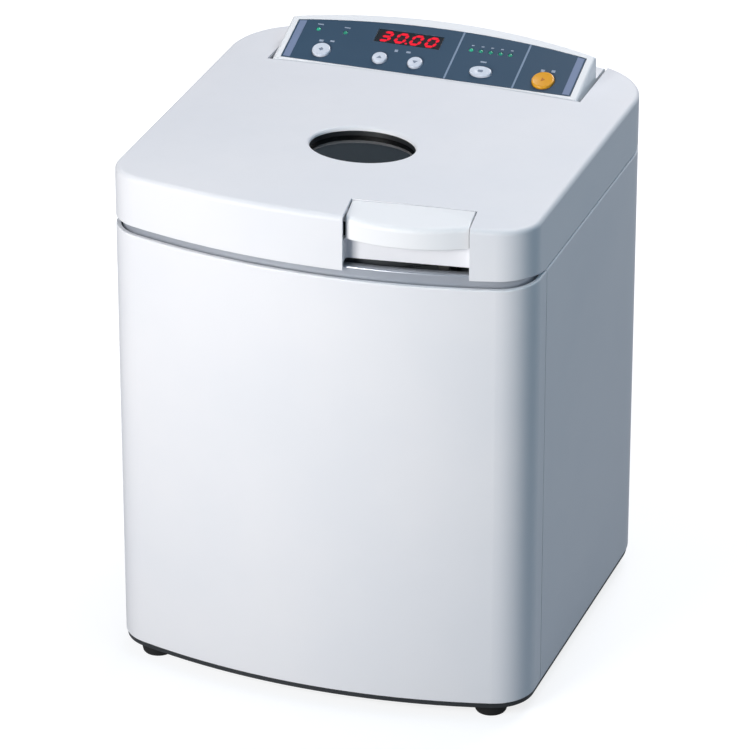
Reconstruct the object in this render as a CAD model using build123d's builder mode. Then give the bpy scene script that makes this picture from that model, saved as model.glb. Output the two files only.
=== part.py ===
from build123d import *
import math
import os

# Bench-top planetary mixer for dental impression material.
# Frame: +Z up, front towards -Y, origin on the bench under the middle of the case. Millimetres.

# ---------------------------------------------------------------- case
case_width = 300.0
case_depth = 320.0
front_bow_radius = 460.0
rear_bow_radius = 480.0
front_corner_radius = 30.0
rear_corner_radius = 50.0
foot_height = 9.5
foot_radius = 12.5
foot_taper = 1.5
foot_from_side = 27.0
foot_from_front = 34.0
foot_from_rear = 48.0
base_thickness = 4.0
base_inset = 1.0
base_vent_count = 5
base_vent_pitch = 16.0
base_vent_length = 62.0
base_vent_width = 4.0
panel_height = 312.5
front_panel_wall = 3.0
cover_wall = 1.6
seam_from_front = 60.0
seam_gap = 0.8
panel_edge_round = 1.2

# ---------------------------------------------------------------- fits
slip = 0.3
running_clearance = 0.05
tight_clearance = 0.02
seat_clearance = 0.1
screw_clearance = 0.2

# ---------------------------------------------------------------- deck and rim under the lid
deck_thickness = 3.0
deck_drop = 2.0
deck_skirt_height = 18.0
wire_port_width = 112.0
wire_port_depth = 26.0
rim_height = 10.0
rim_inset = 4.5
rim_width = 6.5
rim_end_gap = 19.7

# ---------------------------------------------------------------- lid
lid_gap = 2.0
lid_raise = 4.5
lid_side_height = 40.0
lid_crown_rise = 3.5
lid_wall = 2.5
lid_edge_radius = 3.5
front_ramp_start = 32.0
front_ramp_end = 56.0
rear_ramp_start = 56.0
rear_ramp_end = 42.0
liner_thickness = 2.5
liner_height = 11.5
liner_gap = 1.0
liner_post_radius = 5.0
liner_post_from_side = 32.0
liner_post_ahead = 34.0
liner_post_behind = 92.0
liner_screw_grip = 9.0

# ---------------------------------------------------------------- window
window_half_width = 37.0
window_half_depth = 28.5
window_collar_wall = 4.0
window_collar_depth = 3.0
window_edge_round = 2.5
window_edge_steps = 4
window_glass_thickness = 3.0
window_lap = 3.0
shroud_wall = 2.0
shroud_ring_height = 3.5

# ---------------------------------------------------------------- mixing chamber
chamber_y = -44.0
bowl_radius = 94.0
bowl_wall = 2.0
bowl_depth = 128.5
bowl_floor_round = 10.0
flange_width = 5.0
flange_thickness = 1.5
seal_width = 3.5
seal_height = 4.0

# ---------------------------------------------------------------- drive under the chamber
mount_plate_drop = 164.5
mount_plate_thickness = 5.0
mount_plate_width = 196.0
mount_plate_from_front = 32.0
mount_plate_from_rear = 26.0
mount_plate_corner = 20.0
post_radius = 7.0
post_from_plate_side = 12.0
post_from_plate_end = 16.0
isolator_radius = 10.0
isolator_height = 12.0
shaft_radius = 6.0
shaft_collar = 2.0
shaft_end = 5.0
bearing_radius = 17.5
bearing_width = 11.0
bearing_ledge = 3.0
housing_radius = 21.0
housing_flange_radius = 36.0
housing_flange_thickness = 6.0
housing_height = 40.5
housing_lip = 1.5
shaft_pulley_radius = 32.0
motor_pulley_radius = 12.8
pulley_width = 16.0
pulley_side = 2.0
drive_belt_width = 11.0
drive_belt_thickness = 3.0
pulley_drop = 7.0
motor_from_rear = 66.0
motor_radius = 35.0
motor_height = 88.0
motor_cap_height = 16.0
motor_cap_step = 1.5
motor_edge = 4.0
motor_shaft_radius = 4.0
motor_shaft_grip = 20.0

# ---------------------------------------------------------------- rotor
rotor_rise = 8.0
rotor_plate_thickness = 7.0
rotor_half_width = 12.0
rotor_hub_radius = 15.0
rotor_hub_height = 18.5
hub_seat_step = 1.0
shaft_thread_radius = 4.0
shaft_thread_length = 10.0
nut_flat_radius = 6.5
nut_height = 7.0
holder_tilt = 45.0
cup_orbit_radius = 38.0
holder_rise = 58.5
holder_radius = 33.0
holder_wall = 2.7
holder_half_length = 31.0
holder_floor = 4.0
holder_rim_height = 5.0
holder_rim_width = 1.5
adapter_wall = 2.5
adapter_floor = 3.0
spindle_radius = 5.0
spindle_flange_radius = 12.0
spindle_length = 29.0
holder_pulley_gap = 1.0
holder_pulley_width = 8.0
holder_pitch_radius = 27.0
holder_ratio = 0.4
pulley_flange = 2.0
round_belt_radius = 2.0
sun_pulley_width = 7.0
boss_gap = 1.5
boss_radius = 14.0
boss_length = 17.0
boss_ledge = 1.5
holder_bearing_radius = 11.0
holder_bearing_width = 6.0
guide_roller_radius = 6.0
guide_roller_width = 6.0
guide_offset_y = 25.0
guide_pin_radius = 2.0
guide_pin_grip = 5.0
guide_pin_head_radius = 3.5
guide_pin_head = 1.5
counterweight_inner = 44.0
counterweight_outer = 84.0
counterweight_span = 64.0
counterweight_height = 26.0
counterweight_edge = 2.0
counterweight_screw_radius = 3.0
counterweight_screw_head_radius = 5.0
counterweight_screw_head = 3.0
counterweight_screw_angle = 18.0
counterweight_screw_grip = 5.0

# ---------------------------------------------------------------- console
lid_cheek_width = 37.5
console_depth = 80.3
console_front_height = 43.5
console_slope = 20.0
console_rear_inset = 21.0
console_wall = 2.5
console_gap = 1.0
console_side_gap = 3.0
console_edge_round = 2.5
overlay_side_margin = 5.8
overlay_low = 3.5
overlay_end = 43.0
overlay_mid = 53.0
overlay_thickness = 0.8
display_x = -22.6
display_width = 48.2
display_length = 12.9
display_up = 38.2
button_up = 14.6
button_travel = 0.8
button_rise = 2.0
button_clearance = 0.35
button_lip = 1.6
button_lip_thickness = 1.2
button_dish = 0.4
lamp_radius = 1.5
board_depth = 10.0
board_thickness = 1.6
board_margin = 5.0
round_buttons = {
    "mode_button": (-80.2, 6.5),
    "up_button": (-36.7, 5.3),
    "down_button": (-10.4, 5.3),
    "start_button": (83.7, 8.0),
}
oval_button_x = 38.0
oval_button_half_length = 8.0
oval_button_half_height = 5.0
lamp_up = 36.0
lamp_pair = (-89.6, -69.4)
row_lamp_x = 38.7
row_lamp_pitch = 7.2
row_lamp_count = 5

# ---------------------------------------------------------------- lid hinge
hinge_from_rear = 26.0
hinge_rise = 18.5
knuckle_radius = 5.0
hinge_pin_radius = 2.5
bracket_gap = 3.0
bracket_width = 3.0
arm_width = 4.0
arm_bar_height = 10.0
arm_reach = 72.0
bracket_foot_width = 12.0
bracket_foot_reach = 38.0
bracket_upright_reach = 12.0

# ---------------------------------------------------------------- handle and latch
handle_from_side = 85.0
handle_from_front = 36.3
handle_turn = 8.3
handle_cut_reach = 75.0
handle_width = 84.7
handle_gap = 1.2
handle_side_gap = 1.1
handle_lip_reach = 32.6
handle_lip_radius = 105.0
handle_lip_height = 18.0
handle_lip_thickness = 4.0
handle_slope = 5.0
handle_edge_radius = 4.0
handle_plate = 3.4
handle_cheek = 3.0
handle_rib_height = 11.5
handle_pin_reach = 12.6
handle_pin_drop = 6.0
handle_pin_radius = 1.5
handle_lug_width = 5.0
handle_lug_radius = 3.6
pocket_reach = 18.5
pocket_wall = 2.0
pocket_gap = 3.0
pocket_top_gap = 0.8
pocket_corner = 2.0
hook_u = 22.0
hook_width = 6.0
hook_reach = 3.4
hook_thickness = 4.0
hook_nose = 2.2
hook_nose_height = 3.0
hook_ground = 2.0
hook_nose_gap = 1.0
striker_gap = 0.4
striker_thickness = 2.5
striker_length = 7.0

# ---------------------------------------------------------------- rear services
service_half_width = 92.0
service_low_z = 40.0
service_high_z = 150.0
service_wall = 2.0
service_recess_depth = 14.0
service_plate = 2.0
service_lap = 6.0
inlet_x = 52.0
inlet_z = 74.0
inlet_half_width = 13.5
inlet_half_height = 10.0
inlet_ear = 11.0
inlet_lip = 2.0
inlet_flange_thickness = 2.0
inlet_depth = 20.0
inlet_wall = 1.5
inlet_back = 3.0
inlet_corner = 4.0
inlet_pin_pitch = 7.0
inlet_earth_rise = 2.0
inlet_pin_height = 4.0
inlet_pin_thickness = 2.0
inlet_pin_length = 13.0
inlet_tail_length = 8.0
switch_z = 112.0
switch_half_width = 6.5
switch_half_height = 9.5
switch_bezel = 2.0
switch_depth = 18.0
switch_wall = 1.2
rocker_pivot_depth = 1.5
rocker_tilt = 9.0
rocker_side_gap = 0.4
rocker_half_length = 7.4
rocker_foot_half_length = 6.2
rocker_height = 4.0
rocker_dip = 1.2
rocker_foot = 2.0
rocker_pin_radius = 1.2
rocker_pin_length = 0.8
vent_x = -36.0
vent_z = 95.0
vent_count = 9
vent_pitch = 8.0
vent_length = 62.0
vent_width = 4.0

# ---------------------------------------------------------------- fasteners
panel_screw_inset = 8.0
panel_screw_head_radius = 3.5
panel_screw_head = 2.0
screw_shank_radius = 1.8
panel_screw_length = 7.0
plate_screw_radius = 3.0
plate_screw_head_radius = 6.0
plate_screw_head = 4.0
plate_screw_grip = 10.0

# ---------------------------------------------------------------- levels and places worked out from the sizes
base_top = foot_height + base_thickness
panel_top = base_top + panel_height
deck_top = panel_top - deck_drop
rim_top = deck_top + rim_height
lid_low = panel_top + lid_gap
lid_side_top = lid_low + lid_side_height
lid_top = lid_side_top + lid_crown_rise
liner_low = lid_low + liner_height
side_x = case_width / 2
rear_y = case_depth / 2
front_y = -rear_y
seam_y = front_y + seam_from_front
bowl_floor_z = deck_top - bowl_depth
bowl_outer = bowl_radius + bowl_wall
flange_outer = bowl_outer + flange_width
flange_top = deck_top + flange_thickness
collar_low = lid_top - window_collar_depth
glass_top = collar_low - shroud_ring_height
glass_low = glass_top - window_glass_thickness
console_half_width = side_x - lid_cheek_width
console_front_y = rear_y - console_depth
overlay_half_width = console_half_width - overlay_side_margin
hinge_y = rear_y - hinge_from_rear
hinge_z = panel_top + hinge_rise
bracket_x = console_half_width + bracket_gap
console_front_z = panel_top + console_front_height
slope = math.radians(console_slope)
tilt = math.radians(holder_tilt)
handle_x = side_x - handle_from_side
handle_y = front_y + handle_from_front
handle_pin_z = lid_top - handle_pin_drop
lip_low_z = lid_top - handle_lip_height
pin_half_length = handle_width / 2 + handle_lug_width
mount_plate_z = deck_top - mount_plate_drop
mount_plate_top = mount_plate_z + mount_plate_thickness
mount_plate_front_y = front_y + mount_plate_from_front
mount_plate_rear_y = rear_y - mount_plate_from_rear
motor_y = rear_y - motor_from_rear
housing_top_z = mount_plate_top + housing_height
rotor_plate_z = housing_top_z + rotor_rise
holder_centre_z = rotor_plate_z + holder_rise
pulley_top_z = mount_plate_z - pulley_drop
sun_pitch_radius = holder_pitch_radius * holder_ratio
sun_belt_z = housing_top_z + sun_pulley_width / 2
hub_seat_radius = shaft_radius - hub_seat_step
rotor_hub_top = rotor_plate_z + rotor_hub_height
notch_half_width = console_half_width + console_side_gap
notch_front_y = console_front_y - console_gap
arm_x = bracket_x + bracket_width + slip
arm_top_z = lid_side_top - lid_wall - lid_crown_rise
service_recess_y = rear_y - service_recess_depth
liner_rear_y = hinge_y - math.hypot(hinge_y - notch_front_y, lid_top - hinge_z) - lid_wall

# ---------------------------------------------------------------- working planes
chamber_centre = (0, chamber_y)
motor_centre = (0, motor_y)
shaft_plane = Plane(origin=(0, chamber_y, 0))
motor_plane = Plane(origin=(0, motor_y, 0))
chamber_plane = Plane(origin=(0, chamber_y, 0), x_dir=(1, 0, 0), z_dir=(0, -1, 0))
chamber_axis = Axis((0, chamber_y, 0), (0, 0, 1))
turn = math.radians(handle_turn)
handle_plane = Plane(origin=(handle_x, handle_y, 0), x_dir=(math.cos(turn), math.sin(turn), 0), z_dir=(0, 0, 1))
console_plane = Plane(
    origin=(0, console_front_y, console_front_z),
    x_dir=(1, 0, 0),
    z_dir=(0, -math.sin(slope), math.cos(slope)),
)
holder_centre = Vector(cup_orbit_radius, chamber_y, holder_centre_z)
holder_axis = Vector(-math.sin(tilt), 0, math.cos(tilt))
holder_plane = Plane(origin=holder_centre, x_dir=(0, 1, 0), z_dir=holder_axis)


# ---------------------------------------------------------------- shared shapes
def plan_outline(inset):
    """Draw the case's plan outline, moved inwards by inset, in the line being built."""
    half = case_width / 2 - inset
    tangents = []
    front_end = (-1, front_bow_radius, front_corner_radius)
    rear_end = (1, rear_bow_radius, rear_corner_radius)
    for sign, bow, corner in (front_end, rear_end):
        bow_y = sign * (case_depth / 2 - bow)
        corner_x = case_width / 2 - corner
        reach = math.sqrt((bow - corner) ** 2 - corner_x ** 2)
        lean = math.atan2(corner_x, reach)
        middle = (lean + math.pi / 2) / 2
        corner_y = bow_y + sign * reach
        bow_end = ((bow - inset) * math.sin(lean), bow_y + sign * (bow - inset) * math.cos(lean))
        corner_mid = (
            corner_x + (corner - inset) * math.sin(middle),
            corner_y + sign * (corner - inset) * math.cos(middle),
        )
        side_end = (half, corner_y)
        ThreePointArc((-bow_end[0], bow_end[1]), (0, sign * (case_depth / 2 - inset)), bow_end)
        for side in (-1, 1):
            ThreePointArc(
                (side * bow_end[0], bow_end[1]),
                (side * corner_mid[0], corner_mid[1]),
                (side * side_end[0], side_end[1]),
            )
        tangents.append(side_end)
    for side in (-1, 1):
        Line((side * half, tangents[0][1]), (side * half, tangents[1][1]))


def case_prism(inset, low, high, mode=Mode.ADD):
    """Add or take away an upright block with the case's outline."""
    with BuildSketch(Plane.XY.offset(low)) as outline:
        with BuildLine():
            plan_outline(inset)
        make_face()
    extrude(outline.sketch, amount=high - low, mode=mode)


def under_crown(drop):
    """Keep what lies under the lid's crowned top, lowered by drop."""
    with BuildSketch(Plane.XZ.offset(-case_depth)) as section:
        with BuildLine():
            edge_z = lid_side_top - drop
            crown = ThreePointArc((-case_width / 2, edge_z), (0, lid_top - drop), (case_width / 2, edge_z))
            Polyline(crown @ 1, (case_width / 2, 0), (-case_width / 2, 0), crown @ 0)
        make_face()
    extrude(section.sketch, amount=2 * case_depth, mode=Mode.INTERSECT)


def block(low, high, mode=Mode.ADD):
    """Add or take away a box between two opposite corners."""
    size = [b - a for a, b in zip(low, high)]
    middle = [(a + b) / 2 for a, b in zip(low, high)]
    with Locations(tuple(middle)):
        Box(*size, mode=mode)


def window_flare(step):
    """Two ellipses, one above the other, that bound one step of the window opening's rounded edge."""
    sections = []
    for part_turn in (step, step + 1):
        angle = part_turn / window_edge_steps * math.pi / 2
        spread = window_edge_round * (1 - math.cos(angle))
        level = lid_top - window_edge_round * (1 - math.sin(angle))
        with BuildSketch(Plane.XY.offset(level)) as section:
            with Locations((0, chamber_y)):
                Ellipse(window_half_width + spread, window_half_depth + spread)
        sections.append(section.sketch.face())
    return sections


def handle_block(u_low, u_high, reach_low, reach_high, z_low, z_high, mode=Mode.ADD):
    """Add or take away a box in the handle's own turned frame; reach runs from its rear edge to the front."""
    with BuildSketch(handle_plane.offset(z_low)) as footprint:
        with Locations(((u_low + u_high) / 2, -(reach_low + reach_high) / 2)):
            Rectangle(u_high - u_low, reach_high - reach_low)
    extrude(footprint.sketch, amount=z_high - z_low, mode=mode)


def handle_profile(u_high):
    """Plane across the handle whose x runs to the front and y up; extruding it runs towards lower u."""
    return Plane(
        origin=handle_plane.from_local_coords((u_high, 0, 0)),
        x_dir=-handle_plane.y_dir,
        z_dir=-handle_plane.x_dir,
    )


def tube(plane, outer, inner, low, high):
    """Add a ring about the plane's own axis, between two heights above the plane; inner 0 gives a disc."""
    with BuildSketch(plane.offset(low)) as section:
        Circle(outer)
        if inner > 0:
            Circle(inner, mode=Mode.SUBTRACT)
    extrude(section.sketch, amount=high - low)


def bore(plane, radius, low, high):
    """Take away a round hole along the plane's own axis, between two heights above the plane."""
    with BuildSketch(plane.offset(low)) as section:
        Circle(radius)
    extrude(section.sketch, amount=high - low, mode=Mode.SUBTRACT)


def grooved_pulley(plane, width, pitch, bore):
    """Pulley with a round groove; the plane lies across the middle of the belt."""
    rim = pitch + pulley_flange
    with BuildSketch(plane.offset(-width / 2)) as disc:
        Circle(rim)
        Circle(bore, mode=Mode.SUBTRACT)
    extrude(disc.sketch, amount=width)
    section_plane = Plane(origin=plane.origin, x_dir=plane.x_dir, z_dir=-plane.y_dir)
    with BuildSketch(section_plane) as groove:
        with Locations((pitch, 0)):
            Circle(round_belt_radius + slip)
        with Locations((pitch + round_belt_radius + slip, 0)):
            Rectangle(2 * (round_belt_radius + slip), 2 * (round_belt_radius + slip))
    revolve(groove.sketch, axis=Axis(plane.origin, plane.z_dir), mode=Mode.SUBTRACT)


def save(piece, name):
    piece.part.label = name
    export_step(piece.part, f"parts/{name}.step")


os.makedirs("parts", exist_ok=True)

# ---------------------------------------------------------------- base and feet
foot_x = side_x - foot_from_side
foot_rows = (front_y + foot_from_front, rear_y - foot_from_rear)
foot_places = [(side * foot_x, y) for side in (-1, 1) for y in foot_rows]

with BuildPart() as base_plate:
    case_prism(base_inset, foot_height, base_top)
    with BuildSketch(Plane.XY.offset(foot_height)) as base_vents:
        with Locations((0, chamber_y)):
            with GridLocations(0, base_vent_pitch, 1, base_vent_count):
                SlotOverall(base_vent_length, base_vent_width)
    extrude(base_vents.sketch, amount=base_thickness, mode=Mode.SUBTRACT)
save(base_plate, "base_plate")

with BuildPart() as rubber_feet:
    for x, y in foot_places:
        with Locations((x, y, foot_height / 2)):
            Cone(foot_radius - foot_taper, foot_radius, foot_height)
save(rubber_feet, "rubber_feet")

# ---------------------------------------------------------------- outer panels
with BuildPart() as front_panel:
    case_prism(0, base_top, panel_top)
    top_edges = front_panel.edges().group_by(Axis.Z)[-1]
    fillet(top_edges, panel_edge_round)
    case_prism(front_panel_wall, base_top, panel_top, mode=Mode.SUBTRACT)
    split(bisect_by=Plane.XZ.offset(-seam_y + seam_gap / 2), keep=Keep.TOP)
save(front_panel, "front_panel")

with BuildPart() as cover_inside:
    case_prism(cover_wall, base_top, panel_top)
    block(
        (-service_half_width - service_wall, service_recess_y, service_low_z - service_wall),
        (service_half_width + service_wall, rear_y, service_high_z + service_wall),
        mode=Mode.SUBTRACT,
    )

with BuildPart() as side_rear_cover:
    case_prism(0, base_top, panel_top)
    top_edges = side_rear_cover.edges().group_by(Axis.Z)[-1]
    fillet(top_edges, panel_edge_round)
    block(
        (-service_half_width, service_recess_y, service_low_z),
        (service_half_width, rear_y, service_high_z),
        mode=Mode.SUBTRACT,
    )
    add(cover_inside.part, mode=Mode.SUBTRACT)
    split(bisect_by=Plane.XZ.offset(-seam_y - seam_gap / 2), keep=Keep.BOTTOM)
save(side_rear_cover, "side_rear_cover")

# ---------------------------------------------------------------- deck, rim and chamber
deck_inset = front_panel_wall + slip
wire_port_y = (console_front_y + rear_y) / 2

with BuildPart() as top_deck:
    skirt_low = deck_top - deck_skirt_height
    case_prism(deck_inset, skirt_low, deck_top)
    case_prism(deck_inset + deck_thickness, skirt_low, deck_top - deck_thickness, mode=Mode.SUBTRACT)
    bore(shaft_plane, bowl_outer + slip, deck_top - deck_thickness, deck_top)
    block(
        (-wire_port_width / 2, wire_port_y - wire_port_depth / 2, deck_top - deck_thickness),
        (wire_port_width / 2, wire_port_y + wire_port_depth / 2, deck_top),
        mode=Mode.SUBTRACT,
    )
save(top_deck, "top_deck")

with BuildPart() as silver_rim:
    case_prism(rim_inset, deck_top, rim_top)
    fillet(silver_rim.edges().group_by(Axis.Z)[-1], panel_edge_round)
    case_prism(rim_inset + rim_width, deck_top, rim_top, mode=Mode.SUBTRACT)
    split(bisect_by=Plane.XZ.offset(rim_end_gap - console_front_y), keep=Keep.TOP)
save(silver_rim, "silver_rim")

with BuildPart() as chamber_bowl:
    with BuildSketch(chamber_plane) as bowl_section:
        with BuildLine():
            Polyline(
                (housing_radius + slip, bowl_floor_z),
                (housing_radius + slip, bowl_floor_z + bowl_wall),
                (bowl_radius, bowl_floor_z + bowl_wall),
                (bowl_radius, flange_top),
                (flange_outer, flange_top),
                (flange_outer, deck_top),
                (bowl_outer, deck_top),
                (bowl_outer, bowl_floor_z),
                close=True,
            )
        make_face()
        vertices = bowl_section.vertices()
        floor_corners = vertices.filter_by_position(Axis.Y, bowl_floor_z, bowl_floor_z + bowl_wall)
        inner = floor_corners.sort_by(Axis.X)[-2]
        outer = floor_corners.sort_by(Axis.X)[-1]
        fillet(inner, bowl_floor_round)
        fillet(outer, bowl_floor_round + bowl_wall)
    revolve(bowl_section.sketch, axis=chamber_axis)
save(chamber_bowl, "chamber_bowl")

# ---------------------------------------------------------------- lid
liner_top = liner_low + liner_thickness
liner_inset = lid_wall + liner_gap
liner_post_x = side_x - liner_post_from_side
liner_post_planes = [
    Plane(origin=(side * liner_post_x, y, 0))
    for side in (-1, 1)
    for y in (chamber_y - liner_post_ahead, chamber_y + liner_post_behind)
]

with BuildPart() as lid_inside:
    case_prism(lid_wall, lid_low, lid_top)
    under_crown(lid_wall)
    for plane in liner_post_planes:
        bore(plane, liner_post_radius, liner_top, lid_top)
        tube(plane, screw_shank_radius + tight_clearance, 0, liner_top, liner_top + liner_screw_grip)
    for side in (-1, 1):
        boss_low = min(side * (arm_x - lid_wall), side * (arm_x + arm_width + lid_wall))
        block(
            (boss_low, hinge_y - arm_reach, arm_top_z),
            (boss_low + arm_width + 2 * lid_wall, hinge_y - 4 * knuckle_radius, lid_top),
            mode=Mode.SUBTRACT,
        )
    with BuildSketch(Plane.XY.offset(collar_low)) as collar:
        with Locations((0, chamber_y)):
            Ellipse(window_half_width + window_collar_wall, window_half_depth + window_collar_wall)
    extrude(collar.sketch, amount=window_collar_depth, mode=Mode.SUBTRACT)
    for side in (-1, 1):
        inner_u = side * (handle_width / 2 - handle_side_gap)
        outer_u = side * (handle_width / 2 + handle_lug_width)
        handle_block(
            min(inner_u, outer_u),
            max(inner_u, outer_u),
            handle_pin_reach - handle_lug_radius,
            handle_pin_reach + handle_lug_radius,
            handle_pin_z - handle_lug_radius,
            lid_top,
            mode=Mode.SUBTRACT,
        )

with BuildPart() as lid_shell:
    case_prism(0, lid_low, lid_top + lid_wall)
    under_crown(0)
    top_face = lid_shell.faces().sort_by(Axis.Z)[-1]
    fillet(top_face.edges(), lid_edge_radius)
    add(lid_inside.part, mode=Mode.SUBTRACT)
    block(
        (-notch_half_width, notch_front_y, lid_low - lid_wall),
        (notch_half_width, case_depth, lid_top + lid_wall),
        mode=Mode.SUBTRACT,
    )
    handle_block(
        -handle_width / 2,
        handle_width / 2,
        0,
        handle_cut_reach,
        lid_low,
        lid_top + lid_wall,
        mode=Mode.SUBTRACT,
    )
    with BuildSketch(Plane.YZ.offset(-case_width)) as ramps:
        with BuildLine():
            Polyline(
                (-case_depth, lid_low - lid_raise),
                (-case_depth, lid_low + lid_raise),
                (front_y + front_ramp_start, lid_low + lid_raise),
                (front_y + front_ramp_end, lid_low),
                (front_y + front_ramp_end, lid_low - lid_raise),
                close=True,
            )
        make_face()
        with BuildLine():
            Polyline(
                (case_depth, lid_low - lid_raise),
                (case_depth, lid_low + lid_raise),
                (rear_y - rear_ramp_end, lid_low + lid_raise),
                (rear_y - rear_ramp_start, lid_low),
                (rear_y - rear_ramp_start, lid_low - lid_raise),
                close=True,
            )
        make_face()
    extrude(ramps.sketch, amount=2 * case_width, mode=Mode.SUBTRACT)
    with BuildSketch(Plane.XY.offset(collar_low)) as window_hole:
        with Locations((0, chamber_y)):
            Ellipse(window_half_width, window_half_depth)
    extrude(window_hole.sketch, amount=2 * window_collar_depth, mode=Mode.SUBTRACT)
    for step in range(window_edge_steps):
        loft(window_flare(step), mode=Mode.SUBTRACT)
    with BuildSketch(handle_profile(pin_half_length)) as lug_bores:
        with Locations((handle_pin_reach, handle_pin_z)):
            Circle(handle_pin_radius)
    extrude(lug_bores.sketch, amount=2 * pin_half_length, mode=Mode.SUBTRACT)
save(lid_shell, "lid_shell")

shroud_half_width = window_half_width - window_lap + shroud_wall
shroud_half_depth = window_half_depth - window_lap + shroud_wall

with BuildPart() as lid_liner:
    case_prism(liner_inset, liner_low, liner_top)
    block((-case_width, liner_rear_y, liner_low), (case_width, case_depth, liner_top), mode=Mode.SUBTRACT)
    handle_block(
        -handle_width / 2 - handle_lug_width - pocket_wall,
        handle_width / 2 + handle_lug_width + pocket_wall,
        -handle_lug_width,
        handle_cut_reach,
        liner_low,
        liner_top,
        mode=Mode.SUBTRACT,
    )
    ring_low = flange_top + slip
    with BuildSketch(Plane.XY.offset(ring_low)) as seal_ring:
        with Locations((0, chamber_y)):
            Circle(flange_outer)
            Circle(flange_outer - seal_width - 2 * liner_thickness, mode=Mode.SUBTRACT)
    extrude(seal_ring.sketch, amount=liner_low - ring_low)
    with BuildSketch(Plane.XY.offset(ring_low)) as seal_groove:
        with Locations((0, chamber_y)):
            Circle(flange_outer - liner_thickness / 2)
            Circle(flange_outer - liner_thickness / 2 - seal_width, mode=Mode.SUBTRACT)
    extrude(seal_groove.sketch, amount=seal_height, mode=Mode.SUBTRACT)
    with BuildSketch(Plane.XY.offset(liner_low)) as shroud_hole:
        with Locations((0, chamber_y)):
            Ellipse(shroud_half_width + slip, shroud_half_depth + slip)
    extrude(shroud_hole.sketch, amount=liner_thickness, mode=Mode.SUBTRACT)
    for plane in liner_post_planes:
        bore(plane, screw_shank_radius + screw_clearance, liner_low, liner_top)
save(lid_liner, "lid_liner")

with BuildPart() as lid_seal:
    with BuildSketch(Plane.XY.offset(flange_top + slip)) as seal_face:
        with Locations((0, chamber_y)):
            Circle(flange_outer - liner_thickness / 2 - seat_clearance)
            Circle(flange_outer - liner_thickness / 2 - seal_width + seat_clearance, mode=Mode.SUBTRACT)
    extrude(seal_face.sketch, amount=seal_height)
save(lid_seal, "lid_seal")

with BuildPart() as window_glass:
    with BuildSketch(Plane.XY.offset(glass_low)) as pane:
        with Locations((0, chamber_y)):
            Ellipse(window_half_width + window_lap, window_half_depth + window_lap)
    extrude(pane.sketch, amount=window_glass_thickness)
save(window_glass, "window_glass")

with BuildPart() as window_shroud:
    with BuildSketch(Plane.XY.offset(liner_low)) as shroud_tube:
        with Locations((0, chamber_y)):
            Ellipse(shroud_half_width, shroud_half_depth)
    extrude(shroud_tube.sketch, amount=glass_low - liner_low)
    with BuildSketch(Plane.XY.offset(glass_low - window_collar_wall / 2)) as shroud_flange:
        with Locations((0, chamber_y)):
            Ellipse(window_half_width + window_collar_wall, window_half_depth + window_collar_wall)
    extrude(shroud_flange.sketch, amount=window_collar_wall / 2)
    with BuildSketch(Plane.XY.offset(liner_low)) as tube_bore:
        with Locations((0, chamber_y)):
            Ellipse(shroud_half_width - shroud_wall, shroud_half_depth - shroud_wall)
    extrude(tube_bore.sketch, amount=glass_low - liner_low, mode=Mode.SUBTRACT)
    with BuildSketch(Plane.XY.offset(glass_top)) as shroud_ring:
        with Locations((0, chamber_y)):
            Ellipse(window_half_width + window_collar_wall, window_half_depth + window_collar_wall)
            Ellipse(window_half_width, window_half_depth, mode=Mode.SUBTRACT)
    extrude(shroud_ring.sketch, amount=shroud_ring_height)
save(window_shroud, "window_shroud")

# ---------------------------------------------------------------- lid hinge
arm_front_y = hinge_y - arm_reach
bracket_foot_front_y = hinge_y - bracket_foot_reach
bracket_upright_y = hinge_y - bracket_upright_reach

with BuildPart() as hinge_brackets:
    for side in (-1, 1):
        low = min(side * bracket_x, side * (bracket_x + bracket_width))
        with BuildSketch(Plane.YZ.offset(low)) as bracket_side:
            with BuildLine():
                Polyline(
                    (bracket_foot_front_y, deck_top),
                    (bracket_upright_y, deck_top),
                    (bracket_upright_y, hinge_z - 2 * knuckle_radius),
                    (hinge_y, hinge_z - knuckle_radius),
                    (hinge_y, hinge_z + knuckle_radius),
                    (bracket_upright_y - 2 * knuckle_radius, hinge_z + knuckle_radius / 2),
                    (bracket_foot_front_y, deck_top + bracket_width),
                    close=True,
                )
            make_face()
            with Locations((hinge_y, hinge_z)):
                Circle(knuckle_radius)
                Circle(hinge_pin_radius, mode=Mode.SUBTRACT)
        extrude(bracket_side.sketch, amount=bracket_width)
        foot_low = min(side * bracket_x, side * (bracket_x + bracket_foot_width))
        block(
            (foot_low, bracket_foot_front_y, deck_top),
            (foot_low + bracket_foot_width, bracket_upright_y, deck_top + bracket_width),
        )
save(hinge_brackets, "hinge_brackets")

with BuildPart() as hinge_arms:
    for side in (-1, 1):
        low = min(side * arm_x, side * (arm_x + arm_width))
        with BuildSketch(Plane.YZ.offset(low)) as arm_side:
            with BuildLine():
                Polyline(
                    (arm_front_y, arm_top_z),
                    (hinge_y - 2 * knuckle_radius, arm_top_z),
                    (hinge_y + knuckle_radius, hinge_z),
                    (hinge_y, hinge_z - knuckle_radius),
                    (hinge_y - 3 * knuckle_radius, arm_top_z - arm_bar_height),
                    (arm_front_y, arm_top_z - arm_bar_height),
                    close=True,
                )
            make_face()
            with Locations((hinge_y, hinge_z)):
                Circle(knuckle_radius)
                Circle(hinge_pin_radius + running_clearance, mode=Mode.SUBTRACT)
        extrude(arm_side.sketch, amount=arm_width)
save(hinge_arms, "hinge_arms")

with BuildPart() as hinge_pins:
    for side in (-1, 1):
        low = min(side * bracket_x, side * (arm_x + arm_width + slip))
        with BuildSketch(Plane.YZ.offset(low)) as pin_end:
            with Locations((hinge_y, hinge_z)):
                Circle(hinge_pin_radius)
        extrude(pin_end.sketch, amount=arm_x + arm_width + slip - bracket_x)
save(hinge_pins, "hinge_pins")

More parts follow.
